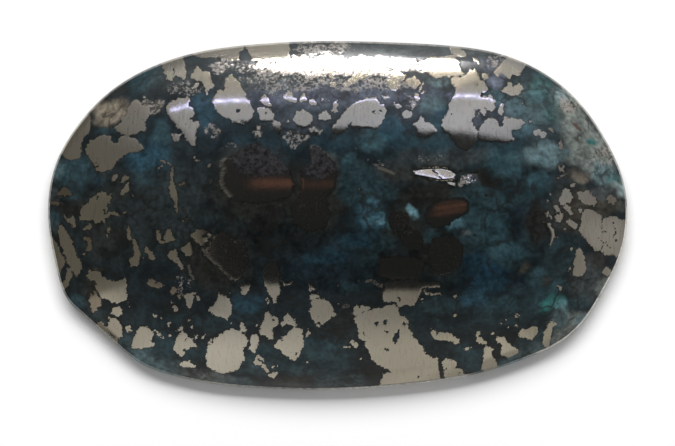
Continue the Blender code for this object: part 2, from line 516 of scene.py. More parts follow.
CRACKS = (
    Line("361,313 366,311 372,310", 0.8),
    Line("602,218 601,224 603,232", 1.1),
    Line("599,238 603,243 602,250", 0.9),
    Line("606,240 608,246 611,249", 0.8),
    Line("613,222 616,232 612,240", 0.8),
    Line("257,358 260,361 263,362", 1.4),
    Line("196,144 198,150 199,155", 1.2),
    Line("434,170 438,175 441,178", 1.3),
    Line("173,66 174,72 172,78", 0.8),
)

# Painted highlights: thin pale lines along some grain edges, where light catches them.
PAINTED_EDGE_HIGHLIGHTS = (
    Line("226,158 222,160 221,165 224,168 222,173 221,180 223,187 227,192 231,197", 1.0),
    Line("203,250 210,258 218,265 226,273 232,279", 1.0),
    Line("189,265 190,272 193,279", 1.0),
    Line("311,149 312,146 318,148 326,155 333,162", 1.0),
    Line("375,165 380,168 386,170 391,172 395,173", 1.0),
    Line("366,281 372,281 377,284 382,286", 1.0),
    Line("343,307 349,306", 1.0),
)

FACETS = (
    Facet(
        "413,170 425,168 437,167 446,168 452,170 456,175 454,180 446,180 440,181 432,179 "
        "424,177 415,175",
        -0.34,
    ),
    Facet("446,181 452,180 456,183 455,187 449,186", -0.28),
    Facet("465,172 478,172 478,185 465,185", -0.30),
    Facet("204,237 208,235 212,237 210,240 206,240", -0.30),
    Facet("235,240 238,238 241,240 239,242 236,242", -0.30),
    Facet("300,205 303,204 305,206 302,208", -0.30),
    Facet("408,239 411,238 413,241 410,242", -0.30),
    Facet("417,240 420,239 421,242 418,243", -0.30),
)

# Some patches are painted reflection, not colours of the stone: the grey and lilac veils over the upper
# face and near the rims.
PATCHES = """
SLATE 150,200 76,64 0 1
SLATE 100,215 56,70 0 .8
NAVY 310,262 62,34 0 .7
INK 285,232 66,30 0 .9
SLATE 330,352 260,34 0 .8
MATRIX 260,190 66,40 0 1
MATRIX 220,262 42,36 0 1
MATRIX 318,198 30,40 0 1
ASH 250,160 44,18 0 .8
ASH 324,172 18,24 0 .9
HAZE 328,158 9,8 0 .25
INK 402,264 40,30 0 .9
MATRIX 402,226 28,24 0 .9
MATRIX 442,252 30,30 0 .9
MATRIX 434,196 52,16 0 1
ASH 410,172 60,14 0 .9
HAZE 452,156 60,12 0 .3
SLATE 402,160 22,9 0 .6
DEEP_TEAL 502,215 54,56 0 1
MATRIX 488,177 22,10 0 1
DEEP_TEAL 360,186 26,28 0 1
BLUE 373,215 19,20 0 1
PALE 373,213 15,18 0 .1
TEAL 391,224 8,8 0 .7
DEEP_TEAL 388,194 12,9 0 .7
MATRIX 344,210 9,10 0 .7
MATRIX 360,191 4,5 0 .7
DEEP_TEAL 364,242 34,11 0 .95
INDIGO 358,240 22,9 0 .6
BLUE 326,256 26,11 0 .5
DEEP_TEAL 368,258 16,9 0 .6
BLUE 334,141 26,15 0 .3
TEAL 372,142 18,13 0 1
BLUE 392,128 20,13 0 1
BLUE 406,137 26,14 0 .4
DEEP_TEAL 450,140 50,10 0 .6
TEAL 432,126 13,8 0 .8
TEAL 350,160 10,8 0 .8
BLUE 277,150 22,18 0 .22
BLUE 244,142 22,9 0 .3
BLUE 205,113 15,17 0 1
BLUE 203,128 10,9 0 .2
BLUE 224,117 13,10 0 .2
BLUE 146,156 27,20 0 .95
TEAL 161,131 13,17 0 .9
DEEP_TEAL 144,178 16,9 0 .8
TEAL 72,172 26,19 0 .7
MILKY 56,168 8,17 10 .35
DEEP_TEAL 76,193 13,9 0 .9
BLUE 97,181 8,8 0 .4
MATRIX 74,208 20,10 0 .8
TEAL 55,222 8,11 0 .9
HAZE 56,228 6,8 0 .3
MATRIX 114,193 15,10 0 .6
MATRIX 106,240 24,22 0 .6
DEEP_TEAL 109,131 14,5 0 .9
OLIVE 92,287 12,11 0 .6
OLIVE 54,272 8,9 0 .7
OLIVE 97,271 10,6 0 .6
SLATE 76,288 13,10 0 .9
TEAL 77,303 12,10 0 1
HAZE 52,194 8,9 0 .4
DEEP_TEAL 98,315 14,12 0 .9
HAZE 96,318 16,10 -40 .3
MILKY 119,345 16,11 -38 .7
MILKY 152,363 48,10 -24 1
PALE 154,368 44,9 -24 .14
MILKY 117,350 8,8 -40 .6
CHALK 206,378 36,10 -8 .8
MILKY 238,382 24,6 -6 .55
TEAL 296,368 62,8 0 .8
TEAL 246,366 12,10 0 .9
MILKY 246,367 11,9 0 .25
MILKY 263,367 15,12 0 .3
MILKY 316,370 32,10 0 .33
TEAL 262,353 17,11 0 .9
TEAL 318,352 42,20 0 1
MILKY 320,354 26,12 0 .12
MILKY 340,381 30,9 0 .6
OLIVE 290,382 26,7 0 .9
HAZE 306,386 34,4 0 .4
MATRIX 373,371 14,12 0 .8
TEAL 160,346 58,14 -12 .95
MILKY 140,350 40,9 -24 .25
TEAL 200,353 14,9 0 .9
DEEP_TEAL 226,323 34,13 0 .8
DEEP_TEAL 160,318 50,12 0 .5
BLUE 248,304 17,13 0 .9
TEAL 348,288 11,8 0 .5
MATRIX 344,326 14,20 0 .7
DEEP_TEAL 440,306 24,10 0 .9
DEEP_TEAL 300,322 30,14 0 .4
INDIGO 487,275 24,17 0 1
BLUE 475,297 17,17 0 1
DEEP_TEAL 500,315 40,15 0 .9
TEAL 503,305 22,10 0 .7
BLUE 486,289 22,8 0 .6
TEAL 507,252 22,11 0 .9
TEAL 494,227 15,17 0 .8
INDIGO 474,259 13,9 0 .8
NAVY 518,284 12,15 0 .8
NAVY 518,220 12,24 0 .9
MATRIX 538,224 15,26 0 1
TEAL 539,184 16,15 0 .95
DEEP_TEAL 516,178 12,12 0 .5
SLATE 562,186 18,12 0 .9
OLIVE 580,209 32,26 0 .95
ASH 558,216 10,18 0 .7
DEEP_TEAL 563,258 18,26 0 1
TEAL 541,283 14,16 0 .8
TEAL 557,287 12,10 0 .9
DEEP_TEAL 517,290 11,8 0 .7
OLIVE 525,268 7,6 0 .6
OLIVE 547,279 5,5 0 .6
HAZE 592,284 24,28 20 .6
CHALK 603,288 12,12 -30 1
OLIVE 596,260 12,12 0 .5
TEAL 536,304 14,12 0 .7
SEA_GREEN 555,305 14,12 0 1
MILKY 560,307 11,10 0 .45
SEA_GREEN 552,303 9,8 0 .6
PALE 560,305 10,9 0 .12
MILKY 561,320 14,14 0 .95
TEAL 579,303 12,9 0 .7
DEEP_TEAL 538,320 12,8 0 .7
CHALK 577,322 13,15 -30 1
PALE 581,320 9,9 -30 .3
CHALK 561,337 15,9 35 1
MILKY 526,358 36,14 20 .85
BLUE 510,366 26,9 20 .5
PALE 510,367 24,9 22 .26
TEAL 534,338 22,9 20 .8
MILKY 536,351 16,8 20 .9
MILKY 512,352 14,7 20 .4
TEAL 466,358 24,14 0 1
TEAL 474,367 16,9 0 .6
RUST 446,370 5,8 0 .3
DEEP_TEAL 418,330 80,20 0 .4
TEAL 455,225 12,9 0 .9
PALE 457,225 9,7 0 .12
DEEP_TEAL 432,238 13,7 0 .8
PALE 413,212 9,5 -40 .38
PALE 381,221 6,4 0 .3
HAZE 467,233 8,4 0 .6
TEAL 504,160 22,20 0 .9
MILKY 520,158 15,12 0 .1
MILKY 548,155 28,14 0 .9
PALE 540,159 8,6 0 .12
MILKY 538,108 38,36 0 .5
BLUE 520,130 22,10 0 .4
PALE 519,128 12,8 0 .1
TEAL 516,144 13,8 0 .6
BLUE 444,146 28,9 0 .35
PALE 516,110 15,14 0 .12
LILAC 493,112 24,16 0 .22
SEA_GREEN 540,88 16,16 0 .3
CHALK 584,138 54,20 -60 .85
CHALK 568,100 20,13 -40 .95
OCHRE 567,107 13,8 -35 .6
SEA_GREEN 556,112 12,10 0 .3
OLIVE 605,151 8,12 -20 .6
OCHRE 579,176 13,8 0 .55
CHALK 578,159 15,11 0 .6
MILKY 610,178 24,13 -30 .9
SEA_GREEN 615,182 6,10 0 .4
HAZE 609,193 22,9 0 .8
CHALK 622,190 10,9 0 1
PALE 622,190 9,8 0 .2
HAZE 622,207 8,8 0 .5
OLIVE 606,207 26,9 0 .8
SEA_GREEN 590,140 6,5 0 1
RUST 577,127 7,2.5 -32 .8
MATRIX 570,113 4,2 -30 1
LILAC 336,94 122,15 0 .46
LILAC 300,112 62,11 0 .1
LILAC 415,112 26,12 0 .14
BLUE 201,98 12,7 0 .8
LILAC 298,124 34,12 0 .12
LILAC 474,126 14,14 0 .25
HAZE 258,84 44,10 0 .5
MATRIX 344,94 9,4 0 .8
MATRIX 307,83 6,7 0 .7
TEAL 148,76 25,13 30 .9
HAZE 172,80 32,17 20 .35
ASH 120,90 12,8 40 .8
OCHRE 112,112 22,14 10 .95
OCHRE 150,106 14,8 0 .3
MILKY 432,104 13,12 0 .5
PALE 433,111 12,9 0 .08
BLUE 443,117 14,10 0 .8
MILKY 439,82 14,7 0 .7
HAZE 430,49 92,9 0 .6
LILAC 490,64 16,7 -15 .3
LILAC 496,80 12,10 0 .85
PALE 495,98 12,10 0 .16
LILAC 455,97 12,9 0 .3
PALE 537,96 9,9 0 .15
PALE 559,96 9,9 0 .2
MATRIX 441,369 3,13 0 1
"""

# The girdle zones give the pale ground girdle, which is stronger along the bottom and the right as a
# painted rim highlight.
ZONES = """
GRANULAR 345,66 112,12 0 1.4
GRANULAR 290,80 62,15 0 .76
GRANULAR 372,84 54,9 0 .8
GRANULAR 322,49 36,8 0 .9
GRANULAR 112,111 22,14 10 .2
GRANULAR 150,105 16,9 0 .7
GRANULAR 184,88 22,10 0 .7
GRANULAR 213,131 9,7 0 .7
GRANULAR 296,138 16,9 0 .85
GRANULAR 313,131 9,6 0 .9
GRANULAR 259,130 6,9 0 .85
GRANULAR 230,148 9,4 0 .6
GRANULAR 430,158 18,7 0 .5
GRANULAR 466,181 12,7 0 .7
GRANULAR 375,163 12,6 0 .5
GRANULAR 568,105 14,10 -35 .9
GRANULAR 604,156 11,15 -20 .7
GRANULAR 184,286 9,11 0 .6
GRANULAR 600,246 10,10 0 .4
GRANULAR 500,62 20,8 -15 .8
GRANULAR 220,66 14,8 0 .9
GRANULAR 478,113 8,7 0 .5
GRANULAR 240,66 14,8 0 .8
GRANULAR 410,100 14,10 0 .6
CRUST 262,160 38,19 0 1.2
CRUST 256,188 38,16 0 .4
CRUST 318,162 24,21 0 1.2
CRUST 314,208 24,28 0 .5
CRUST 226,258 30,28 0 .6
CRUST 446,254 24,22 0 .5
CRUST 402,228 14,26 0 .6
CRUST 402,264 30,10 0 .4
GROUND_EDGE 420,386 130,20 -3 1
GROUND_EDGE 265,388 150,22 4 .6
GROUND_EDGE 338,215 340,205 0 .6
GROUND_EDGE 590,290 44,110 -30 .9
GROUND_EDGE 600,130 34,80 30 .5
"""


def read_runs(text: str) -> list[np.ndarray]:
    """Reads runs of points that are parted by semicolons.

    Args:
        text: Points written as x,y with spaces between them.

    Returns:
        One array of points for each run, in photo pixels.
    """
    runs = [run.split() for run in text.split(";") if run.strip()]
    return [np.array([pair.split(",") for pair in run], dtype=float) for run in runs]


def read_rounds(text: str) -> np.ndarray:
    """Reads marks of three numbers, such as x,y,radius, and gives them as the rows of an array."""
    return np.array([mark.split(",") for mark in text.split()], dtype=float).reshape(-1, 3)


def read_ovals(text: str, kinds: type[Enum]) -> list[Oval]:
    """Reads soft ovals, one a line.

    Args:
        text: The lines, each like NAME x,y a,b turn amount.
        kinds: Enum that the names belong to.

    Returns:
        The ovals in their order.
    """
    ovals = []
    for line in text.strip().splitlines():
        name, middle, reach, turn, amount = line.split()
        pairs = [tuple(float(part) for part in pair.split(",")) for pair in (middle, reach)]
        ovals.append(Oval(kinds[name], *pairs, float(turn), float(amount)))
    return ovals


def smoothstep(value: np.ndarray, low: float, high: float) -> np.ndarray:
    """Climbs from 0 at low to 1 at high, level at both ends: 3 t squared minus 2 t cubed."""
    share = np.clip((value - low) / (high - low), 0, 1)
    return share * share * (3 - 2 * share)


def line_distance(points: np.ndarray, path: np.ndarray) -> np.ndarray:
    """Distance from each point to a run of straight pieces.

    Each piece's nearest point is its start plus a share of its length, and the share is cut off
    at its ends.

    Args:
        points: Points as rows of x and y.
        path: Corners of the run, as rows of x and y.

    Returns:
        One distance for each point.
    """
    start, step = path[:-1], np.diff(path, axis=0)
    away = points[:, None] - start
    length_squared = np.maximum((step * step).sum(1), TINY)
    share = np.clip((away * step).sum(2) / length_squared, 0, 1)
    return np.linalg.norm(away - share[:, :, None] * step, axis=2).min(1)


def depth_inside(points: np.ndarray, outline: np.ndarray) -> np.ndarray:
    """Distance of each point from a closed outline, above zero inside it and below zero outside.

    A point is inside when a ray from it towards +X crosses the outline an odd number of times.

    Args:
        points: Points as rows of x and y.
        outline: Corners of the outline, not repeated at the end.

    Returns:
        One signed distance for each point.
    """
    closed = np.vstack([outline, outline[:1]])
    (x0, y0), (x1, y1) = closed[:-1].T, closed[1:].T
    x, y = points[:, :1], points[:, 1:]
    spans = (y0 > y) != (y1 > y)
    rise = np.where(y1 == y0, 1.0, y1 - y0)
    crossings = spans & (x < x0 + (y - y0) * (x1 - x0) / rise)
    inside = crossings.sum(1) % 2 == 1
    return np.where(inside, 1, -1) * line_distance(points, closed)


def ripple(points: np.ndarray, length: float, seed: int, waves: int = 36) -> np.ndarray:
    """A smooth random field of about -1 to 1: plane waves of about one length in random headings.

    Their lengths spread by a factor, and the root of their number times a level scales their sum.

    Args:
        points: Points as rows of x and y.
        length: Wave length, in the points' own units.
        seed: Start of the random draws.
        waves: Number of waves that are added up.

    Returns:
        One value for each point.
    """
    draw = np.random.default_rng(seed)
    heading = draw.uniform(0, 2 * math.pi, waves)
    pace = 2 * math.pi / (length * draw.uniform(*WAVE_SPREAD, waves))
    phase = draw.uniform(0, 2 * math.pi, waves)
    along = points @ np.stack([np.cos(heading), np.sin(heading)]) * pace + phase
    return np.sin(along).sum(1) / math.sqrt(WAVE_LEVEL * waves)


def swayed(points: np.ndarray, sways: tuple[Sway, ...]) -> np.ndarray:
    """The points moved along both axes by a sum of random swirls.

    Args:
        points: Points as rows of x and y.
        sways: Swirls to add up.

    Returns:
        The moved points.
    """
    shift = [
        sum(sway.size * ripple(points, sway.length, sway.seed + axis) for sway in sways)
        for axis in (0, 1)
    ]
    return points + np.column_stack(shift)


def smooth_loop(ring: np.ndarray, count: int) -> np.ndarray:
    """The smooth closed curve through evenly spaced points.

    Their Fourier series is padded with zeros, which fills in points between them.

    Args:
        ring: Evenly spaced points as rows of x and y, in order round the loop.
        count: Number of points wanted.

    Returns:
        The finer loop, as rows of x and y.
    """
    waves = np.fft.fft(ring[:, 0] + 1j * ring[:, 1])
    half = len(ring) // 2
    padded = np.zeros(count, complex)
    padded[:half] = waves[:half]
    padded[-half:] = waves[-half:]
    fine = np.fft.ifft(padded) * count / len(ring)
    return np.column_stack([fine.real, fine.imag])


@dataclass(frozen=True)
class PhotoFrame:
    """How the photograph looks at the stone: straight down, its middle at one known pixel."""

    width: float = 675
    height: float = 446
    stone_middle: Pair = (338, 215)
    pixel_size: float = 0.08 * MM
    sensor_width: float = 36.0
    lens: float = 200.0
    widest_height: float = 0.35 * MM

    @property
    def distance(self) -> float:
        """From the camera to the stone's widest line, where a pixel has its stated size."""
        return self.width * self.pixel_size * self.lens / self.sensor_width

    @property
    def middle(self) -> np.ndarray:
        """Where the picture's middle falls on the stone, in metres."""
        x, y = self.stone_middle
        return np.array([self.width / 2 - x, y - self.height / 2]) * self.pixel_size

    def pixels(self, points: np.ndarray) -> np.ndarray:
        """The photo pixel at which each point of the stone shows.

        A point's offset from the camera's axis grows as the point comes nearer to the camera.

        Args:
            points: Points in metres, as rows of x, y and z.

        Returns:
            Photo pixels, as rows of x and y.
        """
        near = self.distance / (self.distance + self.widest_height - points[:, 2:])
        offset = (points[:, :2] - self.middle) * near / self.pixel_size
        return np.column_stack([self.width / 2 + offset[:, 0], self.height / 2 - offset[:, 1]])


@dataclass
class Markings:
    """Everything that is drawn on the stone, as fields over photo pixels."""

    photo: PhotoFrame = field(default_factory=PhotoFrame)
    ragged: tuple[Sway, ...] = (Sway(0.45, 3.2, 11), Sway(0.45, 7.0, 15))
    cloudy: tuple[Sway, ...] = (Sway(2.5, 26, 31), Sway(1.0, 8, 41))
    seed: int = 11
    uneven_tarnish: float = 0.22
    patch_soft: float = 0.65
    zone_soft: float = 0.50
    facet_edge: Pair = (-1.2, 0.4)
    highlight_core: float = 0.3
    rim_strength: float = 0.92
    rim_loss: float = 0.7
    rim_paleness: Pair = (0.10, 0.35)
    farthest: float = 8.0

    def near(self, spots: np.ndarray, run: np.ndarray) -> np.ndarray:
        """Indices of the points inside a run's box, widened by the farthest distance that counts."""
        low, high = run.min(0) - self.farthest, run.max(0) + self.farthest
        return np.flatnonzero(((spots > low) & (spots < high)).all(1))

    def grains(self, pixels: np.ndarray) -> tuple[np.ndarray, np.ndarray]:
        """Depth inside the pyrite and its tarnish.

        The depth is the largest of the signed distances to the grains, less what the gaps, pits
        and cracks take. The places are first moved a little, which makes the edges ragged.

        Args:
            pixels: Photo pixels as rows of x and y.

        Returns:
            Depth in pixels, below zero outside the grains, and tarnish from 0 to 1.
        """
        spots = swayed(pixels, self.ragged)
        depth = np.full(len(spots), -self.farthest)
        tarnish = np.zeros(len(spots))
        draw = np.random.default_rng(self.seed)
        for bed in GRAIN_BEDS:
            outlines = read_runs(bed.outlines)
            for outline in outlines:
                inside = self.near(spots, outline)
                value = depth_inside(spots[inside], outline)
                wins = value > depth[inside]
                depth[inside[wins]] = value[wins]
                tarnish[inside[wins]] = bed.tarnish + draw.uniform(0, self.uneven_tarnish)
            for x, y, radius in read_rounds(bed.flecks):
                value = radius - np.hypot(spots[:, 0] - x, spots[:, 1] - y)
                tarnish[value > depth] = bed.tarnish
                np.maximum(depth, value, out=depth)
            for gap in read_runs(bed.gaps):
                inside = self.near(spots, gap)
                depth[inside] = np.minimum(depth[inside], -depth_inside(spots[inside], gap))
            for x, y, radius in read_rounds(bed.pits):
                value = np.hypot(spots[:, 0] - x, spots[:, 1] - y) - radius
                np.minimum(depth, value, out=depth)
            log.info("%s: %d larger grains", bed.name, len(outlines))
        for crack in CRACKS:
            run = read_runs(crack.path)[0]
            inside = self.near(spots, run)
            value = line_distance(spots[inside], run) - crack.width / 2
            depth[inside] = np.minimum(depth[inside], value)
        return depth, tarnish

    def colour(self, pixels: np.ndarray) -> np.ndarray:
        """Colour of the stone between the grains: each patch is laid over what lies below it.

        Args:
            pixels: Photo pixels as rows of x and y.

        Returns:
            Linear colours, as rows of red, green and blue.
        """
        spots = swayed(pixels, self.cloudy)
        colour = np.tile(Tone.GROUND.value, (len(pixels), 1))
        for patch in read_ovals(PATCHES, Tone):
            weight = (patch.amount * patch.weight(spots, self.patch_soft))[:, None]
            colour = colour * (1 - weight) + np.array(patch.kind.value) * weight
        return colour

    def zone(self, pixels: np.ndarray, kind: Field) -> np.ndarray:
        """The largest value that the zones of one kind give each point, with cloudy edges.

        Args:
            pixels: Photo pixels as rows of x and y.
            kind: Field that the zones raise.

        Returns:
            One value for each point.
        """
        spots = swayed(pixels, self.cloudy)
        value = np.zeros(len(pixels))
        for zone in read_ovals(ZONES, Field):
            if zone.kind is kind:
                value = np.maximum(value, zone.amount * zone.weight(spots, self.zone_soft))
        return value

    def rims(self, colour: np.ndarray) -> np.ndarray:
        """Strength of the dark rims round the grains, which are weaker in paler stone."""
        return self.rim_strength - self.rim_loss * smoothstep(colour.sum(1), *self.rim_paleness)

    def facets(self, pixels: np.ndarray) -> np.ndarray:
        """Height that the broken facets add, each a plane through the middle of its outline.

        Args:
            pixels: Photo pixels as rows of x and y.

        Returns:
            One height for each point, in metres.
        """
        height = np.zeros(len(pixels))
        for facet in FACETS:
            outline = read_runs(facet.outline)[0]
            inside = self.near(pixels, outline)
            spots = pixels[inside]
            down = (spots - outline.mean(0))[:, 1] * self.photo.pixel_size
            weight = smoothstep(depth_inside(spots, outline), *self.facet_edge)
            height[inside] -= weight * facet.rise * down
        return height

    def painted_edge_highlights(self, pixels: np.ndarray) -> np.ndarray:
        """Weight of the painted highlights: thin bright lines along the edges of some grains.

        Args:
            pixels: Photo pixels as rows of x and y.

        Returns:
            Weights from 0 to 1.
        """
        spots = swayed(pixels, self.ragged)
        weight = np.zeros(len(pixels))
        for line in PAINTED_EDGE_HIGHLIGHTS:
            run = read_runs(line.path)[0]
            inside = self.near(spots, run)
            away = line_distance(spots[inside], run)
            value = smoothstep(-away, -line.width, -self.highlight_core * line.width)
            weight[inside] = np.maximum(weight[inside], value)
        return weight


@dataclass
class StoneForm:
    """The stone's shape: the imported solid's own outline and formulas, on a finer grid."""

    half_length: float = 23.1 * MM
    half_width: float = 13.9 * MM
    back_bevel: float = 0.35 * MM
    girdle_top: float = 1.30 * MM
    girdle_lean: float = 0.20 * MM
    dome_arc: float = 1.50
    shoulder_rise: float = 0.05
    shoulder_power: int = 16
    cells_long: int = 372
    cells_wide: int = 222
    edge_rounding: float = 0.05 * MM
    widest_between: Pair = (0.2 * MM, 1.0 * MM)
    loop_points: int = 2048
    loop: np.ndarray = field(init=False)

    def __post_init__(self) -> None:
        """Reads the solid's widest line, seen from above, from the frame and smooths it."""
        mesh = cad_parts[NODE].data
        places = np.zeros(len(mesh.vertices) * 3)
        mesh.vertices.foreach_get("co", places)
        places = np.unique(places.reshape(-1, 3).round(7), axis=0)
        low, high = self.widest_between
        ring = places[(places[:, 2] > low) & (places[:, 2] < high)][:, :2]
        order = np.argsort(np.arctan2(ring[:, 1], ring[:, 0]))
        self.loop = smooth_loop(ring[order], self.loop_points)

    def reach(self, angle: np.ndarray, inset: float) -> np.ndarray:
        """Distance from the middle to the outline moved inwards, in each direction.

        Args:
            angle: Directions seen from above, in radians.
            inset: How far the outline is moved inwards along its own normals.

        Returns:
            One distance for each direction, in metres.
        """
        along = np.roll(self.loop, -1, axis=0) - np.roll(self.loop, 1, axis=0)
        along /= np.linalg.norm(along, axis=1)[:, None]
        line = self.loop + inset * np.column_stack([-along[:, 1], along[:, 0]])
        polar = np.arctan2(line[:, 1], line[:, 0])
        return np.interp(angle, polar, np.hypot(*line.T), period=2 * math.pi)

    def square_to_oval(self) -> tuple[np.ndarray, np.ndarray]:
        """Share of the edge's size and direction for each point of the grid.

        Square rings of the grid become level lines: the share is the larger of |u| and |v|, and
        the smaller over the larger, times an eighth of a turn, is the angle from the nearest axis.

        Returns:
            Shares from 0 to 1 and directions in radians, both shaped as the grid.
        """
        along = np.linspace(-1, 1, self.cells_long + 1)
        across = np.linspace(-1, 1, self.cells_wide + 1)
        u, v = np.meshgrid(along, across)
        share = np.maximum(abs(u), abs(v))
        safe = np.where(share == 0, 1, share)
        eighth = math.pi / 4
        side = eighth * v / safe * np.sign(u) + np.where(u < 0, math.pi, 0)
        end = math.pi / 2 * np.sign(v) - eighth * u / safe * np.sign(v)
        turn = np.where(abs(u) >= abs(v), side, end)
        return share, np.arctan2(self.half_width * np.sin(turn), self.half_length * np.cos(turn))

    def dome(self) -> np.ndarray:
        """The domed face as a grid of points.

        A level line is its share of a mix of the outline and a plain oval, rounder towards the
        top. Its height is a round arc plus a low shoulder that falls with a high power of the
        share, both zero at the edge.

        Returns:
            Points in metres, shaped (rows, columns, 3).
        """
        share, angle = self.square_to_oval()
        edge = self.reach(angle, self.girdle_lean)
        oval = 1 / np.hypot(np.cos(angle) / self.half_length, np.sin(angle) / self.half_width)
        radius = share * (share**2 * edge + (1 - share**2) * oval)
        arc = np.sqrt(self.dome_arc**2 - share**2) - math.sqrt(self.dome_arc**2 - 1)
        shoulder = self.shoulder_rise * (1 - share**self.shoulder_power)
        height = self.girdle_top + self.half_width * (arc + shoulder)
        return np.stack([radius * np.cos(angle), radius * np.sin(angle), height], axis=2)

    def border(self) -> np.ndarray:
        """Follows the grid's border.

        Returns:
            Indices of its points, anticlockwise seen from above.
        """
        index = np.arange((self.cells_wide + 1) * (self.cells_long + 1))
        index = index.reshape(self.cells_wide + 1, -1)
        return np.concatenate([index[0, :-1], index[:-1, -1], index[-1, :0:-1], index[:0:-1, 0]])

    def girdle_profile(self) -> list[Pair]:
        """Inset and height of each line round the girdle, from just under the dome to the back.

        Returns:
            Pairs in metres: a narrow ledge, the leaning wall, the rounded bevel and its end.
        """
        soft, lean, top, bevel = self.edge_rounding, self.girdle_lean, self.girdle_top, self.back_bevel
        return [
            (0.93 * lean, top - 0.1 * soft),
            (0.42 * lean, top - 0.8 * soft),
            (0.32 * lean, top - 1.6 * soft),
            (0.20 * lean, 0.5 * (top + bevel)),
            (0.08 * lean, bevel + 2 * soft),
            (0.0, bevel + soft),
            (0.25 * soft, bevel - 0.6 * soft),
            (bevel - 1.2 * soft, 0.9 * soft),
            (bevel - 0.2 * soft, 0.15 * soft),
            (bevel + 0.6 * soft, 0.0),
        ]


@dataclass(frozen=True)
class Relief:
    """Heights that grinding and polishing leave, in metres, and their lengths in photo pixels."""

    waviness: float = 0.0035 * MM
    wave_length: float = 60
    grain_stands: float = 0.006 * MM
    grain_edge: Pair = (-1.4, 1.0)
    rim_sinks: float = 0.005 * MM
    rim_away: float = 1.3
    rim_width: float = 1.1
    granular: float = 0.007 * MM
    granule_length: float = 4.5
    granule_waves: int = 60
    seed: int = 71

    def height(self, pixels: np.ndarray, depth: np.ndarray, granular: np.ndarray) -> np.ndarray:
        """Height over the smooth dome: waves, grains that stand, rims that sink, and roughness.

        Args:
            pixels: Photo pixels of the points.
            depth: Depth inside the pyrite, in pixels.
            granular: Weight of the granular zones.

        Returns:
            One height for each point, in metres.
        """
        waves = self.waviness * ripple(pixels, self.wave_length, self.seed)
        stands = self.grain_stands * smoothstep(depth, *self.grain_edge)
        sinks = self.rim_sinks * np.exp(-(((depth + self.rim_away) / self.rim_width) ** 2))
        granules = ripple(pixels, self.granule_length, self.seed + 1, self.granule_waves)
        return waves + stands - sinks + self.granular * granular * granules


class Wiring:
    """Short calls that add shader nodes to a tree and join them."""

    def __init__(self, tree: bpy.types.NodeTree) -> None:
        """Keeps the tree that the nodes go into."""
        self.tree = tree

    def feed(self, socket: Socket, value: Value) -> None:
        """Joins an output to a socket, or sets it to a plain value, a colour with full opacity.

        Args:
            socket: Input to feed.
            value: An output of the tree, a number, a vector, or a colour as red, green and blue.
        """
        if isinstance(value, Socket):
            self.tree.links.new(value, socket)
        else:
            socket.default_value = (*value, 1.0) if socket.type == "RGBA" else value

    def node(self, kind: str, inputs: dict | None = None, **settings: object) -> bpy.types.Node:
        """Adds a node.

        Args:
            kind: Kind of the node.
            inputs: What its inputs are fed, by their names or numbers.
            settings: The node's own properties.

        Returns:
            The new node.
        """
        made = self.tree.nodes.new(kind)
        for name, value in settings.items():
            setattr(made, name, value)
        for name, value in (inputs or {}).items():
            self.feed(made.inputs[name], value)
        return made

    def math(self, operation: str, *values: Value, clamp: bool = False) -> Socket:
        """The result of one operation on numbers, which may be kept between 0 and 1."""
        inputs = dict(enumerate(values))
        return self.node("ShaderNodeMath", inputs, operation=operation, use_clamp=clamp).outputs[0]

    def product(self, *values: Value) -> Socket:
        """Numbers multiplied."""
        return reduce(lambda first, second: self.math("MULTIPLY", first, second), values)

    def total(self, *values: Value) -> Socket:
        """Numbers added up."""
        return reduce(lambda first, second: self.math("ADD", first, second), values)

    def rest(self, share: Socket) -> Socket:
        """What a share leaves of 1."""
        return self.math("SUBTRACT", 1.0, share)

    def vector(self, operation: str, *values: Value) -> Socket:
        """The vector that one operation on vectors gives."""
        inputs = dict(enumerate(values))
        return self.node("ShaderNodeVectorMath", inputs, operation=operation).outputs["Vector"]

    def scaled(self, vector: Socket, scale: float) -> Socket:
        """A vector times a number."""
        inputs = {0: vector, "Scale": scale}
        return self.node("ShaderNodeVectorMath", inputs, operation="SCALE").outputs["Vector"]

    def parts(self, vector: Socket) -> list[Socket]:
        """A vector's three parts."""
        return list(self.node("ShaderNodeSeparateXYZ", {0: vector}).outputs)

    def ramp(
        self, value: Value, low: float, high: float, start: float = 0.0, end: float = 1.0
    ) -> Socket:
        """Climbs smoothly.

        Args:
            value: Number to follow.
            low: Where the climb starts.
            high: Where it ends.
            start: What it gives up to the low value.
            end: What it gives from the high value on.

        Returns:
            A number between start and end.
        """
        inputs = dict(enumerate((value, low, high, start, end)))
        settings = {"interpolation_type": "SMOOTHSTEP", "clamp": True}
        return self.node("ShaderNodeMapRange", inputs, **settings).outputs["Result"]

    def between(self, value: Socket, low: float, high: float, soft: float) -> Socket:
        """A mask of a range.

        Args:
            value: Number to follow.
            low: Lower end of the range.
            high: Upper end of the range.
            soft: Half the width over which the mask falls at each end.

        Returns:
            A number that is 1 inside the range and 0 outside it.
        """
        climbs = self.ramp(value, low - soft, low + soft)
        return self.product(climbs, self.ramp(value, high - soft, high + soft, 1.0, 0.0))

    def mix(self, share: Value, first: Value, second: Value, blend: str = "MIX") -> Socket:
        """Mixes two colours by a share, in one of Blender's blend modes."""
        settings = {"data_type": "RGBA", "blend_type": blend, "clamp_factor": True}
        return self.node("ShaderNodeMix", {0: share, 6: first, 7: second}, **settings).outputs[2]

    def blend(self, share: Value, first: Value, second: Value) -> Socket:
        """Mixes two numbers by a share."""
        inputs = {0: share, 2: first, 3: second}
        return self.node("ShaderNodeMix", inputs, data_type="FLOAT", clamp_factor=True).outputs[0]

    def grey(self, level: Value) -> Socket:
        """A grey of one level, as a colour."""
        return self.node("ShaderNodeCombineColor", dict.fromkeys(range(3), level)).outputs[0]


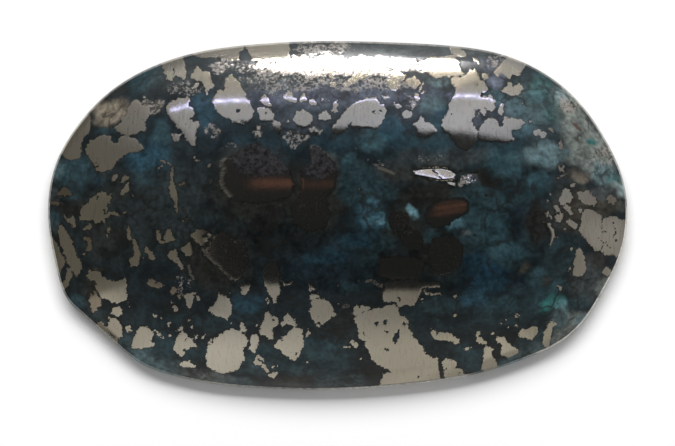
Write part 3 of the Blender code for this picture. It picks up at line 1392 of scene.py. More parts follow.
@dataclass(frozen=True)
class PolishedStone:
    """Turquoise and pyrite polished together: one finish over the whole stone.

    Lengths and heights are in millimetres. A mask's edge is the depths at which it starts and is
    full, and a cover is how much of a mask it takes to hide what lies below.
    """

    name: str = "polished_turquoise"

    pyrite: Colour = (0.68, 0.63, 0.52)
    pyrite_dull: Colour = (0.36, 0.30, 0.22)
    pyrite_rose: Colour = (0.68, 0.59, 0.50)
    pyrite_green: Colour = (0.60, 0.61, 0.45)
    pyrite_ground: Colour = (0.170, 0.155, 0.125)
    speck: Colour = (0.60, 0.55, 0.50)
    rim: Colour = (0.0075, 0.0072, 0.0060)
    edge_highlight: Colour = (0.050, 0.047, 0.040)
    # Pale ground stone of the girdle, also used for the painted rim highlight.
    ground_pale: Colour = (0.70, 0.68, 0.64)
    crust_dark: Colour = (0.0040, 0.0040, 0.0040)
    crust_pale: Colour = (0.0270, 0.0255, 0.0275)

    pyrite_roughness: float = 0.08
    stone_roughness: float = 0.07
    pit_roughness: float = 0.50
    ground_roughness: float = 0.55
    tarnish_roughness: float = 0.02
    uneven_roughness: Cloud = Cloud(1.7, 4, start=-0.015, end=0.025)
    refraction: float = 1.27
    specular: float = 0.5
    haze: float = 0.44
    haze_roughness: float = 0.42

    grain_edge: Pair = (-0.010, 0.020)
    metal_edge: Pair = (-0.030, -0.005)
    halo_edge: Pair = (-0.12, -0.01)
    coarse_edge: Cloud = Cloud(3.6, 2, low=0.25, high=0.75, start=-0.06, end=0.06)
    fine_edge: Cloud = Cloud(9.0, 3, 0.6, low=0.25, high=0.75, start=-0.05, end=0.05)
    halo_breaks: Cloud = Cloud(1.6, low=0.38, high=0.62, start=0.15, end=0.9)
    edge_highlight_breaks: Cloud = Cloud(2, low=0.3, high=0.5, start=0.3)

    zone_lack: float = 0.30
    speck_grains: Cloud = Cloud(4.0, 5, 0.68, 0.5, low=0.57, high=0.84, end=0.9)
    speck_spread: Cloud = Cloud(0.9, 2)
    spread_share: float = 0.35
    pit_holes: Cloud = Cloud(3.4, 5, 0.65, low=0.48, high=0.58)
    pit_shift: Triple = (7.0, 3.0, 0.0)
    crust_cover: float = 6.0
    crust_patches: Cloud = Cloud(4.5, 5, 0.75, low=0.42, high=0.50)
    crust_crumbs: Cloud = Cloud(2.6, 6, 0.72, low=0.34, high=0.66)

    pit_cover: float = 0.8
    edge_highlight_cover: float = 4.0
    pale_girdle_and_rim_light_cover: float = 1.6
    tarnish_cover: float = 1.2
    pale_girdle_and_rim_light: Cloud = Cloud(3.0, 4, 0.6)
    clouds: Cloud = Cloud(0.8, 4, 0.60, 0.3, start=0.55, end=1.50)
    mottle: Cloud = Cloud(3.2, 4, 0.62, low=0.28, high=0.72, start=0.70, end=1.32)
    milk: Cloud = Cloud(1.9, 5, 0.62, 0.6, low=0.60, high=0.80, end=0.10)
    vein_scale: float = 0.45
    vein: Climb = (0.0, 0.10, 0.7, 0.0)
    vein_patches: Cloud = Cloud(0.35, 2, low=0.46, high=0.60)
    vein_bends: Cloud = Cloud(0.7, 2)
    vein_bend: float = 2.2

    rose_stain: Cloud = Cloud(1.3, 4, 0.6, low=0.52, high=0.70, end=0.7)
    green_stain: Cloud = Cloud(1.3, 4, 0.6, low=0.30, high=0.44, start=0.6, end=0.0)
    wear_lines: Cloud = Cloud(1.0, 4, 0.65, low=0.30, high=0.50, start=0.86)
    wear_stretch: Triple = (7.0, 0.9, 1.0)
    dot_scale: float = 2.4
    dots: Climb = (0.05, 0.11, 0.25, 1.0)

    grain_step: float = 0.0008
    pit_depth: float = 0.004
    skin: Cloud = Cloud(5.0)
    skin_height: float = 0.0010
    grinding: Cloud = Cloud(22, 4, 0.7)
    grinding_height: float = 0.02

    def material(self) -> bpy.types.Material:
        """Builds the finish.

        Returns:
            A material that reads the stone's fields and adds what is finer than its mesh.
        """
        made = bpy.data.materials.new(self.name)
        made.use_nodes = True
        stone = StoneTree(made.node_tree, self)
        clean = stone.product(stone.polish, stone.rest(stone.product(stone.pits, self.pit_cover)))
        looks = {
            "Base Color": stone.colour(),
            # The painted edge highlights take the metal away along some grain edges.
            "Metallic": stone.math("SUBTRACT", stone.bare_metal, stone.lines, clamp=True),
            "Roughness": stone.roughness(),
            "IOR": self.refraction,
            "Specular IOR Level": stone.product(clean, self.specular),
            "Coat Weight": stone.product(clean, self.haze),
            "Coat Roughness": self.haze_roughness,
            "Normal": stone.bumps(),
        }
        for name, value in looks.items():
            stone.feed(made.node_tree.nodes["Principled BSDF"].inputs[name], value)
        return made


class StoneTree(Wiring):
    """The tree of the stone's finish: its masks, and the colour and relief that they make."""

    def __init__(self, tree: bpy.types.NodeTree, look: PolishedStone) -> None:
        """Works out where each part of the finish shows.

        The grains' edges are made ragged below the mesh's own detail.

        Args:
            tree: Tree of the material.
            look: Colours, patterns and sizes of the finish.
        """
        super().__init__(tree)
        self.look = look
        self.place = self.scaled(self.node("ShaderNodeTexCoord").outputs["Object"], 1 / MM)
        self.polish = self.field(Field.POLISH)
        ragged = self.total(self.cloud(look.coarse_edge), self.cloud(look.fine_edge))
        self.depth = self.total(self.field(Field.PYRITE), ragged)
        self.grain = self.ramp(self.depth, *look.grain_edge)
        specks, pits = self.granules()
        self.specks = self.product(specks, self.rest(self.grain))
        metal = self.math("MAXIMUM", self.ramp(self.depth, *look.metal_edge), self.specks)
        self.pits = self.product(pits, self.rest(metal))
        self.lines = self.product(self.field(Field.BRIGHT_EDGE), self.cloud(look.edge_highlight_breaks))
        crust = self.total(self.noise(look.crust_patches), self.lack(Field.CRUST))
        self.crust = self.product(self.climb(crust, look.crust_patches), self.grain)
        self.bare_metal = self.product(metal, self.polish, self.rest(self.crust))

    def field(self, kind: Field, output: str = "Fac") -> Socket:
        """One of the mesh's fields, as a number or a colour."""
        return self.node("ShaderNodeAttribute", attribute_name=kind.value).outputs[output]

    def noise(self, cloud: Cloud, place: Socket | None = None, output: str = "Fac") -> Socket:
        """A cloud's own noise.

        Args:
            cloud: Cloud whose scale, detail, roughness and bend it has.
            place: Where it is read, unless at the place on the stone.
            output: Fac for a number, or Color for a colour.

        Returns:
            The noise.
        """
        inputs = {
            "Vector": place or self.place,
            "Scale": cloud.scale,
            "Detail": cloud.detail,
            "Roughness": cloud.rough,
            "Distortion": cloud.bend,
        }
        return self.node("ShaderNodeTexNoise", inputs).outputs[output]

    def climb(self, level: Socket, cloud: Cloud) -> Socket:
        """A level after a cloud's climb."""
        return self.ramp(level, cloud.low, cloud.high, cloud.start, cloud.end)

    def cloud(self, cloud: Cloud, place: Socket | None = None) -> Socket:
        """A cloud's pattern, at the place on the stone unless another is given."""
        return self.climb(self.noise(cloud, place), cloud)

    def cells(self, place: Socket, scale: float, feature: str = "F1") -> Socket:
        """Distance from the middles or edges of random cells of one scale."""
        inputs = {"Vector": place, "Scale": scale}
        return self.node("ShaderNodeTexVoronoi", inputs, feature=feature).outputs["Distance"]

    def lack(self, kind: Field) -> Socket:
        """What a pattern's noise loses outside a field's zones, as a number below zero."""
        return self.product(self.math("SUBTRACT", self.field(kind), 1.0), self.look.zone_lack)

    def granules(self) -> tuple[Socket, Socket]:
        """Masks of the granular zones.

        Returns:
            The tiny soft-edged grains, and the pits between them.
        """
        look, lack = self.look, self.lack(Field.GRANULAR)
        spread = self.product(self.noise(look.speck_spread), look.spread_share)
        level = self.total(self.noise(look.speck_grains), spread, lack)
        holes = self.noise(look.pit_holes, self.vector("ADD", self.place, look.pit_shift))
        pits = self.climb(self.total(holes, lack), look.pit_holes)
        return self.climb(level, look.speck_grains), pits

    def colour(self) -> Socket:
        """Colour of the whole surface: each layer is laid over what lies below it.

        Returns:
            The base colour.
        """
        look = self.look
        # The pale ground girdle, stronger along the bottom and the right edges, where it is a painted
        # rim highlight.
        pale_girdle_and_rim_light = self.product(self.field(Field.GROUND_EDGE), self.noise(look.pale_girdle_and_rim_light))
        pale_girdle_and_rim_light = self.product(pale_girdle_and_rim_light, self.rest(self.polish))
        pyrite = self.mix(self.polish, look.pyrite_ground, self.pyrite_colour())
        crumbs = self.mix(self.cloud(look.crust_crumbs), look.crust_dark, look.crust_pale)
        colour = self.body_colour()
        colour = self.mix(self.product(self.pits, look.pit_cover), colour, look.rim)
        colour = self.mix(self.specks, colour, look.speck)
        colour = self.mix(self.grain, colour, pyrite)
        layers = (
            # Painted highlights along some grain edges.
            (self.lines, look.edge_highlight_cover, look.edge_highlight),
            (self.crust, look.crust_cover, crumbs),
            # The pale ground girdle, with a painted rim highlight along the bottom and the right.
            (pale_girdle_and_rim_light, look.pale_girdle_and_rim_light_cover, look.ground_pale),
        )
        for mask, cover, layer in layers:
            colour = self.mix(self.math("MULTIPLY", mask, cover, clamp=True), colour, layer)
        return colour

    def body_colour(self) -> Socket:
        """Colour of the turquoise, its clouds, dark veins and the dark rims round the grains.

        Returns:
            The colour between the grains.
        """
        look = self.look
        shade = self.product(self.cloud(look.clouds), self.cloud(look.mottle))
        colour = self.field(Field.STONE_COLOUR, "Color")
        colour = self.mix(1.0, colour, self.grey(shade), "MULTIPLY")
        colour = self.mix(self.cloud(look.milk), colour, Tone.MILKY.value)
        swirl = self.noise(look.vein_bends, output="Color")
        swirl = self.scaled(self.vector("SUBTRACT", swirl, NOISE_MIDDLE), look.vein_bend)
        seam = self.cells(self.vector("ADD", self.place, swirl), look.vein_scale, "DISTANCE_TO_EDGE")
        vein = self.product(self.ramp(seam, *look.vein), self.cloud(look.vein_patches))
        halo = self.product(self.ramp(self.depth, *look.halo_edge), self.field(Field.RIM))
        halo = self.product(halo, self.cloud(look.halo_breaks))
        return self.mix(halo, self.mix(vein, colour, look.rim), look.rim)

    def pyrite_colour(self) -> Socket:
        """Colour of the grains: brassy grey, with stains, tarnish, fine pits and lines of wear.

        Returns:
            The colour of polished pyrite.
        """
        look = self.look
        stain = self.noise(look.rose_stain)
        colour = self.mix(self.climb(stain, look.rose_stain), look.pyrite, look.pyrite_rose)
        colour = self.mix(self.climb(stain, look.green_stain), colour, look.pyrite_green)
        dull = self.math("MULTIPLY", self.field(Field.TARNISH), look.tarnish_cover, clamp=True)
        colour = self.mix(dull, colour, look.pyrite_dull)
        stretch = {"Vector": self.place, "Scale": look.wear_stretch}
        stretched = self.node("ShaderNodeMapping", stretch).outputs[0]
        dots = self.ramp(self.cells(self.place, look.dot_scale), *look.dots)
        shade = self.product(self.cloud(look.wear_lines, stretched), dots)
        return self.mix(1.0, colour, self.grey(shade), "MULTIPLY")

    def roughness(self) -> Socket:
        """Roughness: the polish with its unevenness and tarnish, then the pits, then the girdle.

        Returns:
            The roughness.
        """
        look = self.look
        dulled = self.product(self.field(Field.TARNISH), look.tarnish_roughness, self.grain)
        polished = self.blend(self.bare_metal, look.stone_roughness, look.pyrite_roughness)
        polished = self.total(polished, self.cloud(look.uneven_roughness), dulled)
        polished = self.blend(self.pits, polished, look.pit_roughness)
        return self.blend(self.polish, look.ground_roughness, polished)

    def bumps(self) -> Socket:
        """Relief below the mesh's detail: the grains' edges, the pits, and the grinding marks.

        Returns:
            The bent surface direction.
        """
        look = self.look
        marks = self.product(self.noise(look.grinding), look.grinding_height)
        height = self.total(
            self.product(self.grain, look.grain_step),
            self.product(self.pits, -look.pit_depth),
            self.product(self.noise(look.skin), look.skin_height),
            self.product(marks, self.rest(self.polish)),
        )
        inputs = {"Strength": 1.0, "Distance": MM, "Height": height}
        return self.node("ShaderNodeBump", inputs).outputs["Normal"]


@dataclass
class Cabochon:
    """The whole stone: one closed surface of dome, girdle and flat back."""

    form: StoneForm = field(default_factory=StoneForm)
    markings: Markings = field(default_factory=Markings)
    relief: Relief = field(default_factory=Relief)
    finish: PolishedStone = field(default_factory=PolishedStone)
    relief_ends: Pair = (0.985, 1.0)

    def face(self) -> tuple[np.ndarray, dict[Field, np.ndarray]]:
        """Points of the dome with its relief, and the fields on them.

        The relief moves each point along the surface's normal, the cross product of the grid's
        two slopes, and dies away just before the dome's edge.

        Returns:
            Points in metres, as rows, and the fields.
        """
        grid = self.form.dome()
        normal = np.cross(np.gradient(grid, axis=1), np.gradient(grid, axis=0))
        normal /= np.linalg.norm(normal, axis=2)[:, :, None]
        points, normal = grid.reshape(-1, 3), normal.reshape(-1, 3)
        pixels = self.markings.photo.pixels(points)
        depth, tarnish = self.markings.grains(pixels)
        fields = self.fields(pixels, depth, tarnish)
        height = self.relief.height(pixels, depth, fields[Field.GRANULAR])
        height += self.markings.facets(pixels)
        share = self.form.square_to_oval()[0].reshape(-1)
        height *= 1 - smoothstep(share, *self.relief_ends)
        return points + normal * height[:, None], fields

    def fields(
        self, pixels: np.ndarray, depth: np.ndarray, tarnish: np.ndarray
    ) -> dict[Field, np.ndarray]:
        """All the fields that the finish reads.

        Args:
            pixels: Photo pixels of the dome's points.
            depth: Depth inside the pyrite, in pixels.
            tarnish: Tarnish of the pyrite.

        Returns:
            One array for each field.
        """
        colour = self.markings.colour(pixels)
        return {
            Field.STONE_COLOUR: colour,
            Field.BRIGHT_EDGE: self.markings.painted_edge_highlights(pixels),
            Field.PYRITE: depth * self.markings.photo.pixel_size / MM,
            Field.TARNISH: tarnish,
            Field.GRANULAR: self.markings.zone(pixels, Field.GRANULAR),
            Field.GROUND_EDGE: self.markings.zone(pixels, Field.GROUND_EDGE),
            Field.CRUST: self.markings.zone(pixels, Field.CRUST),
            Field.RIM: self.markings.rims(colour),
            Field.POLISH: np.ones(len(pixels)),
        }

    def build(self) -> bpy.types.Object:
        """Makes the stone's mesh, gives it its fields and its finish.

        Returns:
            The finished piece.
        """
        face, fields = self.face()
        border = self.form.border()
        angle = np.arctan2(face[border, 1], face[border, 0])
        points, loops = [face], [border]
        for number, (inset, height) in enumerate(self.form.girdle_profile()):
            radius = self.form.reach(angle, inset)
            level = np.full(len(angle), height)
            points.append(np.column_stack([radius * np.cos(angle), radius * np.sin(angle), level]))
            loops.append(len(face) + number * len(border) + np.arange(len(border)))
        bands = [self.band(*pair) for pair in zip(loops, loops[1:])]
        quads = np.concatenate([self.face_quads(), *bands])
        mesh = bpy.data.meshes.new(NODE + "_stone")
        mesh.from_pydata(np.concatenate(points), [], [*quads.tolist(), loops[-1][::-1].tolist()])
        mesh.shade_smooth()
        mesh.polygons[-1].use_smooth = False
        self.crease(mesh, border)
        self.store(mesh, fields, border, len(bands))
        mesh.materials.append(self.finish.material())
        piece = bpy.data.objects.new(NODE + "_stone", mesh)
        bpy.context.scene.collection.objects.link(piece)
        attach(piece, "root")
        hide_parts(NODE)
        log.info("%s: %d points, %d faces", piece.name, len(mesh.vertices), len(mesh.polygons))
        return piece

    def face_quads(self) -> np.ndarray:
        """Joins the grid's points.

        Returns:
            Corners of its cells, facing up.
        """
        columns = self.form.cells_long + 1
        start = np.arange(self.form.cells_wide)[:, None] * columns + np.arange(columns - 1)
        return start.reshape(-1, 1) + np.array([0, 1, columns + 1, columns])

    @staticmethod
    def band(upper: np.ndarray, lower: np.ndarray) -> np.ndarray:
        """Faces between two lines round the stone, facing outwards."""
        return np.column_stack([upper, lower, np.roll(lower, -1), np.roll(upper, -1)])

    @staticmethod
    def crease(mesh: bpy.types.Mesh, line: np.ndarray) -> None:
        """Makes the mesh's edges along a line of points crisp.

        Args:
            mesh: The stone's mesh.
            line: Indices of the line's points.
        """
        ends = np.zeros(2 * len(mesh.edges), dtype=np.int64)
        mesh.edges.foreach_get("vertices", ends)
        crisp = np.isin(ends.reshape(-1, 2), line).all(1)
        mesh.attributes.new("sharp_edge", "BOOLEAN", "EDGE").data.foreach_set("value", crisp)

    @staticmethod
    def store(
        mesh: bpy.types.Mesh, fields: dict[Field, np.ndarray], border: np.ndarray, rings: int
    ) -> None:
        """Writes the fields to the mesh. The girdle repeats the dome's edge, unpolished.

        Args:
            mesh: The stone's mesh.
            fields: The fields on the dome.
            border: Indices of the dome's border points.
            rings: Number of lines round the girdle.
        """
        for kind, values in fields.items():
            below = np.concatenate([values[border]] * rings)
            if kind is Field.POLISH:
                below = np.zeros(len(below))
            whole = np.concatenate([values, below])
            if whole.ndim == 2:
                whole = np.column_stack([whole, np.ones(len(whole))])
                layer, part = mesh.attributes.new(kind.value, "FLOAT_COLOR", "POINT"), "color"
            else:
                layer, part = mesh.attributes.new(kind.value, "FLOAT", "POINT"), "value"
            layer.data.foreach_set(part, whole.astype(np.float32).ravel())


class Sky(Wiring):
    """The tree of the surroundings, with its directions and the light so far.

    Azimuth goes from +Y towards +X and elevation up from the floor, in degrees. Across and beyond
    are places along X and Y on a ceiling, in heights of that ceiling.
    """

    def __init__(
        self, tree: bpy.types.NodeTree, horizon: bpy.types.NodeTree, change: Pair, lowest: float
    ) -> None:
        """Works out the directions and lays the light round the stone.

        Args:
            tree: Tree of the surroundings.
            horizon: Group of the light round the stone.
            change: Elevations between which its low light gives way to its high light.
            lowest: Least rise for which there is a place on the ceiling.
        """
        super().__init__(tree)
        direction = self.node("ShaderNodeTexCoord").outputs["Generated"]
        around = self.node("ShaderNodeGroup", {0: direction}, node_tree=horizon)
        east, north, up = self.parts(direction)
        rise = self.math("MAXIMUM", up, lowest)
        self.across = self.math("DIVIDE", east, rise)
        self.beyond = self.math("DIVIDE", north, rise)
        self.azimuth = around.outputs["Azimuth"]
        self.elevation = self.product(self.math("ARCSINE", up), DEGREES)
        height = self.ramp(self.elevation, *change)
        self.light = self.mix(height, around.outputs["Low"], around.outputs["High"])


def at_strength(colour: Colour, strength: float) -> Colour:
    """A colour times a strength."""
    return tuple(strength * part for part in colour)


@dataclass(frozen=True)
class Glow:
    """A bright panel round the stone, with soft edges of a width in each direction, in degrees."""

    azimuth: Pair
    elevation: Pair
    colour: Colour
    strength: float
    soft: Pair

    def shine(self, sky: Sky) -> None:
        """Lays the panel over the light.

        Args:
            sky: Surroundings to light.
        """
        mask = sky.product(
            sky.between(sky.azimuth, *self.azimuth, self.soft[0]),
            sky.between(sky.elevation, *self.elevation, self.soft[1]),
        )
        sky.light = sky.mix(mask, sky.light, at_strength(self.colour, self.strength))


@dataclass(frozen=True)
class Streak:
    """A dim warm strip overhead: its span along X, its middle and half width along Y, its slope."""

    span: Pair
    middle: float
    half_width: float
    slope: float
    strength: float
    soft_end: float = 0.015
    soft_side: float = 0.6
    tint: Colour = (1.0, 0.42, 0.27)

    def shine(self, sky: Sky) -> None:
        """Adds the strip to the light.

        Args:
            sky: Surroundings to light.
        """
        offset = sky.math("SUBTRACT", sky.across, sum(self.span) / 2)
        level = sky.math("SUBTRACT", sky.beyond, sky.product(offset, self.slope))
        ends = (self.middle - self.half_width, self.middle + self.half_width)
        strip = sky.product(
            sky.between(sky.across, *self.span, self.soft_end),
            sky.between(level, *ends, self.half_width * self.soft_side),
        )
        tint = sky.mix(strip, (0.0, 0.0, 0.0), at_strength(self.tint, self.strength))
        sky.light = sky.mix(1.0, sky.light, tint, "ADD")


@dataclass(frozen=True)
class Overhead:
    """A dim panel on the ceiling.

    Its near edge drops at the left end, and its far edge tapers towards the right.
    """

    level: float = 0.018
    climb: Pair = (-0.5, 0.8)
    climb_share: Pair = (0.75, 1.3)
    tint: Colour = (1.0, 1.12, 1.25)
    span: Pair = (-0.45, 0.82)
    span_soft: float = 0.05
    near: float = -0.60
    far: float = 0.86
    side_soft: float = 0.03
    drop: float = 0.10
    drop_over: Pair = (-0.20, -0.05)
    taper: float = 0.30

    def shine(self, sky: Sky) -> None:
        """Lays the panel over the light.

        Args:
            sky: Surroundings to light.
        """
        soft = self.side_soft
        dropped = sky.total(sky.beyond, sky.ramp(sky.across, *self.drop_over, 0.0, self.drop))
        right = sky.math("MAXIMUM", sky.across, 0.0)
        tapered = sky.total(sky.beyond, sky.product(right, self.taper))
        mask = sky.product(
            sky.between(sky.across, *self.span, self.span_soft),
            sky.ramp(dropped, self.near - soft, self.near + soft),
            sky.ramp(tapered, self.far - soft, self.far + soft, 1.0, 0.0),
        )
        ends = (share * self.level for share in self.climb_share)
        grey = sky.grey(sky.ramp(sky.beyond, *self.climb, *ends))
        sky.light = sky.mix(mask, sky.light, sky.mix(1.0, grey, self.tint, "MULTIPLY"))


@dataclass(frozen=True)
class LampRow:
    """A long row of small lamps at one height round the stone, each a soft dot, in degrees."""

    elevation: float = 34.7
    fall: float = 0.03
    half_width: float = 0.45
    soft: float = 0.3
    first: float = -20.1
    pitch: float = 3.8
    dot: Climb = (0.1, 0.95, 0.30, 1.0)
    reach: Triple = (-33, 31, 2)
    power: Colour = (4.2, 4.5, 9.0)

    def shine(self, sky: Sky) -> None:
        """Adds the lamps to the light.

        Args:
            sky: Surroundings to light.
        """
        height = sky.total(sky.elevation, sky.product(sky.azimuth, self.fall))
        ends = (self.elevation - self.half_width, self.elevation + self.half_width)
        turns = sky.math("DIVIDE", sky.math("SUBTRACT", sky.azimuth, self.first), self.pitch)
        wave = sky.math("COSINE", sky.product(turns, 2 * math.pi))
        strength = sky.product(
            sky.between(height, *ends, self.soft),
            sky.ramp(wave, *self.dot),
            sky.between(sky.azimuth, *self.reach),
        )
        levels = {number: sky.product(strength, part) for number, part in enumerate(self.power)}
        tint = sky.node("ShaderNodeCombineColor", levels).outputs[0]
        sky.light = sky.mix(1.0, sky.light, tint, "ADD")


@dataclass(frozen=True)
class Around:
    """Brightness round the stone at one height.

    Its stops are written as azimuth, level, and blue over red.
    """

    stops: str
    green_share: float = 0.25

    def wired(self, wire: Wiring, share: Socket) -> Socket:
        """The colour at a share of a full turn.

        Args:
            wire: Wiring of the group.
            share: The azimuth as a share of a turn, with +Y in its middle.

        Returns:
            The colour of a colour ramp.
        """
        made = wire.node("ShaderNodeValToRGB", {0: share})
        ramp, stops = made.color_ramp, read_rounds(self.stops)
        ramp.interpolation = "EASE"
        while len(ramp.elements) < len(stops):
            ramp.elements.new(0.5)
        for element, (degrees, level, blue) in zip(ramp.elements, stops):
            green = 1 - self.green_share + self.green_share * blue
            element.position = degrees / 360 + 0.5
            element.color = (level, level * green, level * blue, 1.0)
        return made.outputs[0]


LOW_LIGHT = Around("""
    -180,0.47,0.96 -164,0.58,0.98 -148,0.54,0.98 -136,0.45,0.94 -126,0.19,0.84 -110,0.135,0.86
    -80,0.12,0.88 -58,0.145,0.95 -42,0.24,1.05 -30,0.38,1.08 -18,0.46,1.00 0,0.52,0.98
    18,0.46,0.98 30,0.50,1.05 50,0.36,1.25 66,0.24,1.15 86,0.23,1.05 100,0.34,1.06
    116,0.27,0.98 146,0.34,0.90 160,0.50,0.92 172,0.45,0.94 180,0.47,0.96
""")
HIGH_LIGHT = Around("""
    -180,0.29,1.0 -160,0.31,1.02 -142,0.21,1.0 -112,0.14,0.86 -90,0.115,0.84 -68,0.155,0.92
    -57,0.145,1.0 -41,0.24,1.2 -33,0.40,1.25 -15,0.46,1.32 0,0.42,1.30 12,0.48,1.40
    26,0.56,1.32 38,0.50,1.38 50,0.37,1.38 70,0.26,1.15 96,0.28,1.06 116,0.19,0.96
    146,0.21,0.94 164,0.24,0.94 180,0.29,1.0
""")
GLOWS = (
    Glow((-9, 18), (-20, 23), (1.0, 0.95, 0.89), 0.85, (4.0, 3.0)),
    Glow((-7, 15), (-20, 17), (1.0, 0.93, 0.85), 1.4, (3.0, 2.0)),
    Glow((-5.5, 11), (-20, 11.5), (1.0, 0.98, 0.97), 36.0, (5.0, 6.0)),
    Glow((8.5, 16), (14, 30), (1.0, 0.94, 0.88), 0.92, (1.5, 5.0)),
)
STREAKS = (
    Streak((-0.27, -0.12), 0.250, 0.032, 0.0, 0.110),
    Streak((-0.10, 0.00), 0.245, 0.028, 0.0, 0.045),
    Streak((0.29, 0.43), 0.110, 0.011, 0.31, 0.045),
    Streak((0.29, 0.43), 0.068, 0.011, 0.31, 0.150),
    Streak((0.29, 0.43), 0.024, 0.012, 0.31, 0.090),
)


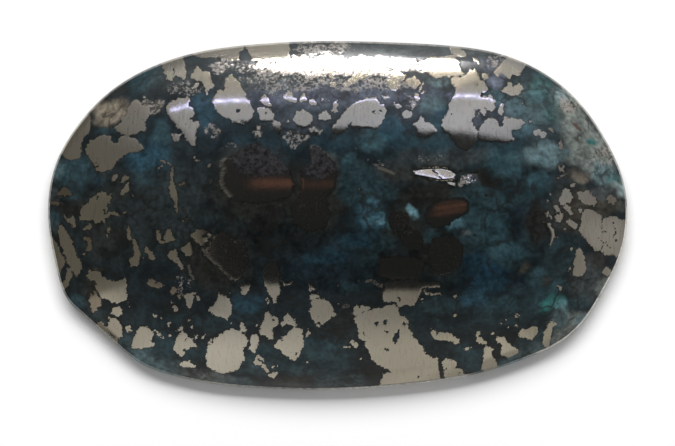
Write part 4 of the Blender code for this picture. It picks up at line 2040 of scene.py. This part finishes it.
@dataclass(frozen=True)
class Studio:
    """Pale floor, soft light all round, one key light, and a camera that looks straight down.

    The front glow is what the stone mirrors of the floor before the low panel: its span of azimuth
    with its softness, where it starts, and how it fades with the distance beyond that.
    """

    photo: PhotoFrame = field(default_factory=PhotoFrame)
    overhead: Overhead = Overhead()
    lamps: LampRow = LampRow()
    camera_clip: Pair = (0.01, 10)
    floor_radius: float = 0.5
    floor_corners: int = 96
    floor_colour: Colour = (0.86, 0.86, 0.86)
    floor_return: Colour = (0.92, 0.92, 0.92)
    front_span: Triple = (-4, 11, 3)
    front_start: float = 13.5 * MM
    front_fade: float = 22 * MM
    front_power: float = 30.0
    backdrop: Colour = (1.0, 1.0, 1.0)
    ambient: Colour = (0.35, 0.35, 0.35)
    key_distance: float = 0.6
    key_elevation: float = 47.0
    key_size: Pair = (0.75, 0.27)
    key_power: float = 5.1
    light_change: Pair = (22.0, 48.0)
    lowest_rise: float = 0.02

    def build(self) -> None:
        """Makes the camera, the floor, the key light and the surroundings."""
        self.camera()
        horizon = self.horizon()
        self.floor(horizon)
        self.key_light()
        self.surroundings(horizon)
        bpy.context.scene.view_settings.view_transform = "Standard"

    def camera(self) -> None:
        """Looks straight down from the height at which the photograph's pixel has its real size."""
        lens = bpy.data.cameras.new("camera")
        lens.lens = self.photo.lens
        lens.sensor_width = self.photo.sensor_width
        lens.clip_start, lens.clip_end = self.camera_clip
        camera = bpy.data.objects.new("camera", lens)
        camera.location = (*self.photo.middle, self.photo.widest_height + self.photo.distance)
        bpy.context.scene.collection.objects.link(camera)
        bpy.context.scene.camera = camera

    def floor(self, horizon: bpy.types.NodeTree) -> None:
        """A pale round floor under the stone.

        Args:
            horizon: Group of the light round the stone.
        """
        turn = np.linspace(0, 2 * math.pi, self.floor_corners, endpoint=False)
        level = np.zeros(self.floor_corners)
        rim = self.floor_radius * np.column_stack([np.cos(turn), np.sin(turn), level])
        mesh = bpy.data.meshes.new("floor")
        mesh.from_pydata(rim, [], [list(range(self.floor_corners))])
        mesh.materials.append(self.floor_finish(horizon))
        floor = bpy.data.objects.new("floor", mesh)
        bpy.context.scene.collection.objects.link(floor)

    @staticmethod
    def horizon() -> bpy.types.NodeTree:
        """The light round the stone by direction, which the floor and the surroundings share.

        Returns:
            A group that takes a direction and gives the colours near the floor and higher up, and
            the azimuth in degrees.
        """
        group = bpy.data.node_groups.new("horizon_light", "ShaderNodeTree")
        sockets = (
            ("Direction", "INPUT", "NodeSocketVector"),
            ("Low", "OUTPUT", "NodeSocketColor"),
            ("High", "OUTPUT", "NodeSocketColor"),
            ("Azimuth", "OUTPUT", "NodeSocketFloat"),
        )
        for name, way, kind in sockets:
            group.interface.new_socket(name, in_out=way, socket_type=kind)
        wire = Wiring(group)
        east, north, _ = wire.parts(wire.node("NodeGroupInput").outputs["Direction"])
        azimuth = wire.product(wire.math("ARCTAN2", east, north), DEGREES)
        share = wire.total(wire.math("DIVIDE", azimuth, 360), 0.5)
        wire.node(
            "NodeGroupOutput",
            {
                "Low": LOW_LIGHT.wired(wire, share),
                "High": HIGH_LIGHT.wired(wire, share),
                "Azimuth": azimuth,
            },
        )
        return group

    def floor_finish(self, horizon: bpy.types.NodeTree) -> bpy.types.Material:
        """Matt pale card that isn't seen from beneath.

        The stone mirrors it in the light of its own side, and brightest in the front glow. That
        falls off as the exponential of a fixed length over the distance beyond its start.

        Args:
            horizon: Group of the light round the stone.

        Returns:
            The floor's material.
        """
        made = bpy.data.materials.new("pale_card")
        made.use_nodes = True
        made.node_tree.nodes.clear()
        wire = Wiring(made.node_tree)
        place = wire.node("ShaderNodeTexCoord").outputs["Object"]
        around = wire.node("ShaderNodeGroup", {0: place}, node_tree=horizon)
        past = wire.math("SUBTRACT", wire.parts(place)[1], self.front_start)
        past = wire.math("MAXIMUM", past, MM)
        fade = wire.math("EXPONENT", wire.math("DIVIDE", -self.front_fade, past))
        front = wire.between(around.outputs["Azimuth"], *self.front_span)
        lit = wire.grey(wire.product(fade, front, self.front_power))
        side = wire.mix(1.0, around.outputs["Low"], self.floor_return, "MULTIPLY")
        glow = wire.node("ShaderNodeEmission", {"Color": wire.mix(1.0, lit, side, "ADD")})
        card = wire.node("ShaderNodeBsdfDiffuse", {"Color": self.floor_colour})
        mirrored = wire.node("ShaderNodeLightPath").outputs["Is Glossy Ray"]
        beneath = wire.node("ShaderNodeNewGeometry").outputs["Backfacing"]
        clear = wire.node("ShaderNodeBsdfTransparent")
        seen = {0: mirrored, 1: card.outputs[0], 2: glow.outputs[0]}
        seen = wire.node("ShaderNodeMixShader", seen).outputs[0]
        seen = wire.node("ShaderNodeMixShader", {0: beneath, 1: seen, 2: clear.outputs[0]})
        wire.node("ShaderNodeOutputMaterial", {0: seen.outputs[0]})
        return made

    def key_light(self) -> None:
        """A large soft light beyond the upper edge, which casts the shadow below the lower one."""
        lamp = bpy.data.lights.new("key", "AREA")
        lamp.shape = "ELLIPSE"
        lamp.size, lamp.size_y = self.key_size
        lamp.energy = self.key_power
        light = bpy.data.objects.new("key", lamp)
        rise = math.radians(self.key_elevation)
        away, up = self.key_distance * math.cos(rise), self.key_distance * math.sin(rise)
        light.location = (0.0, away, up)
        light.rotation_euler = (-(math.pi / 2 - rise), 0, 0)
        light.visible_glossy = False
        light.visible_camera = False
        bpy.context.scene.collection.objects.link(light)

    def surroundings(self, horizon: bpy.types.NodeTree) -> None:
        """The light that the stone mirrors, plain grey to all else, before a pale backdrop.

        Args:
            horizon: Group of the light round the stone.
        """
        world = bpy.data.worlds.new("studio")
        world.use_nodes = True
        bpy.context.scene.world = world
        sky = Sky(world.node_tree, horizon, self.light_change, self.lowest_rise)
        for light in (*GLOWS, self.lamps, self.overhead, *STREAKS):
            light.shine(sky)
        paths = sky.node("ShaderNodeLightPath")
        lit = sky.mix(paths.outputs["Is Glossy Ray"], self.ambient, sky.light)
        seen = sky.mix(paths.outputs["Is Camera Ray"], lit, self.backdrop)
        sky.feed(world.node_tree.nodes["Background"].inputs["Color"], seen)


def main() -> None:
    """Builds the stone and its studio, and reports each."""
    logging.basicConfig(level=logging.INFO, format="%(message)s")
    stone = Cabochon()
    stone.build()
    Studio(photo=stone.markings.photo).build()
    log.info("studio: floor, key light, surroundings and camera")


if __name__ == "__main__":
    main()
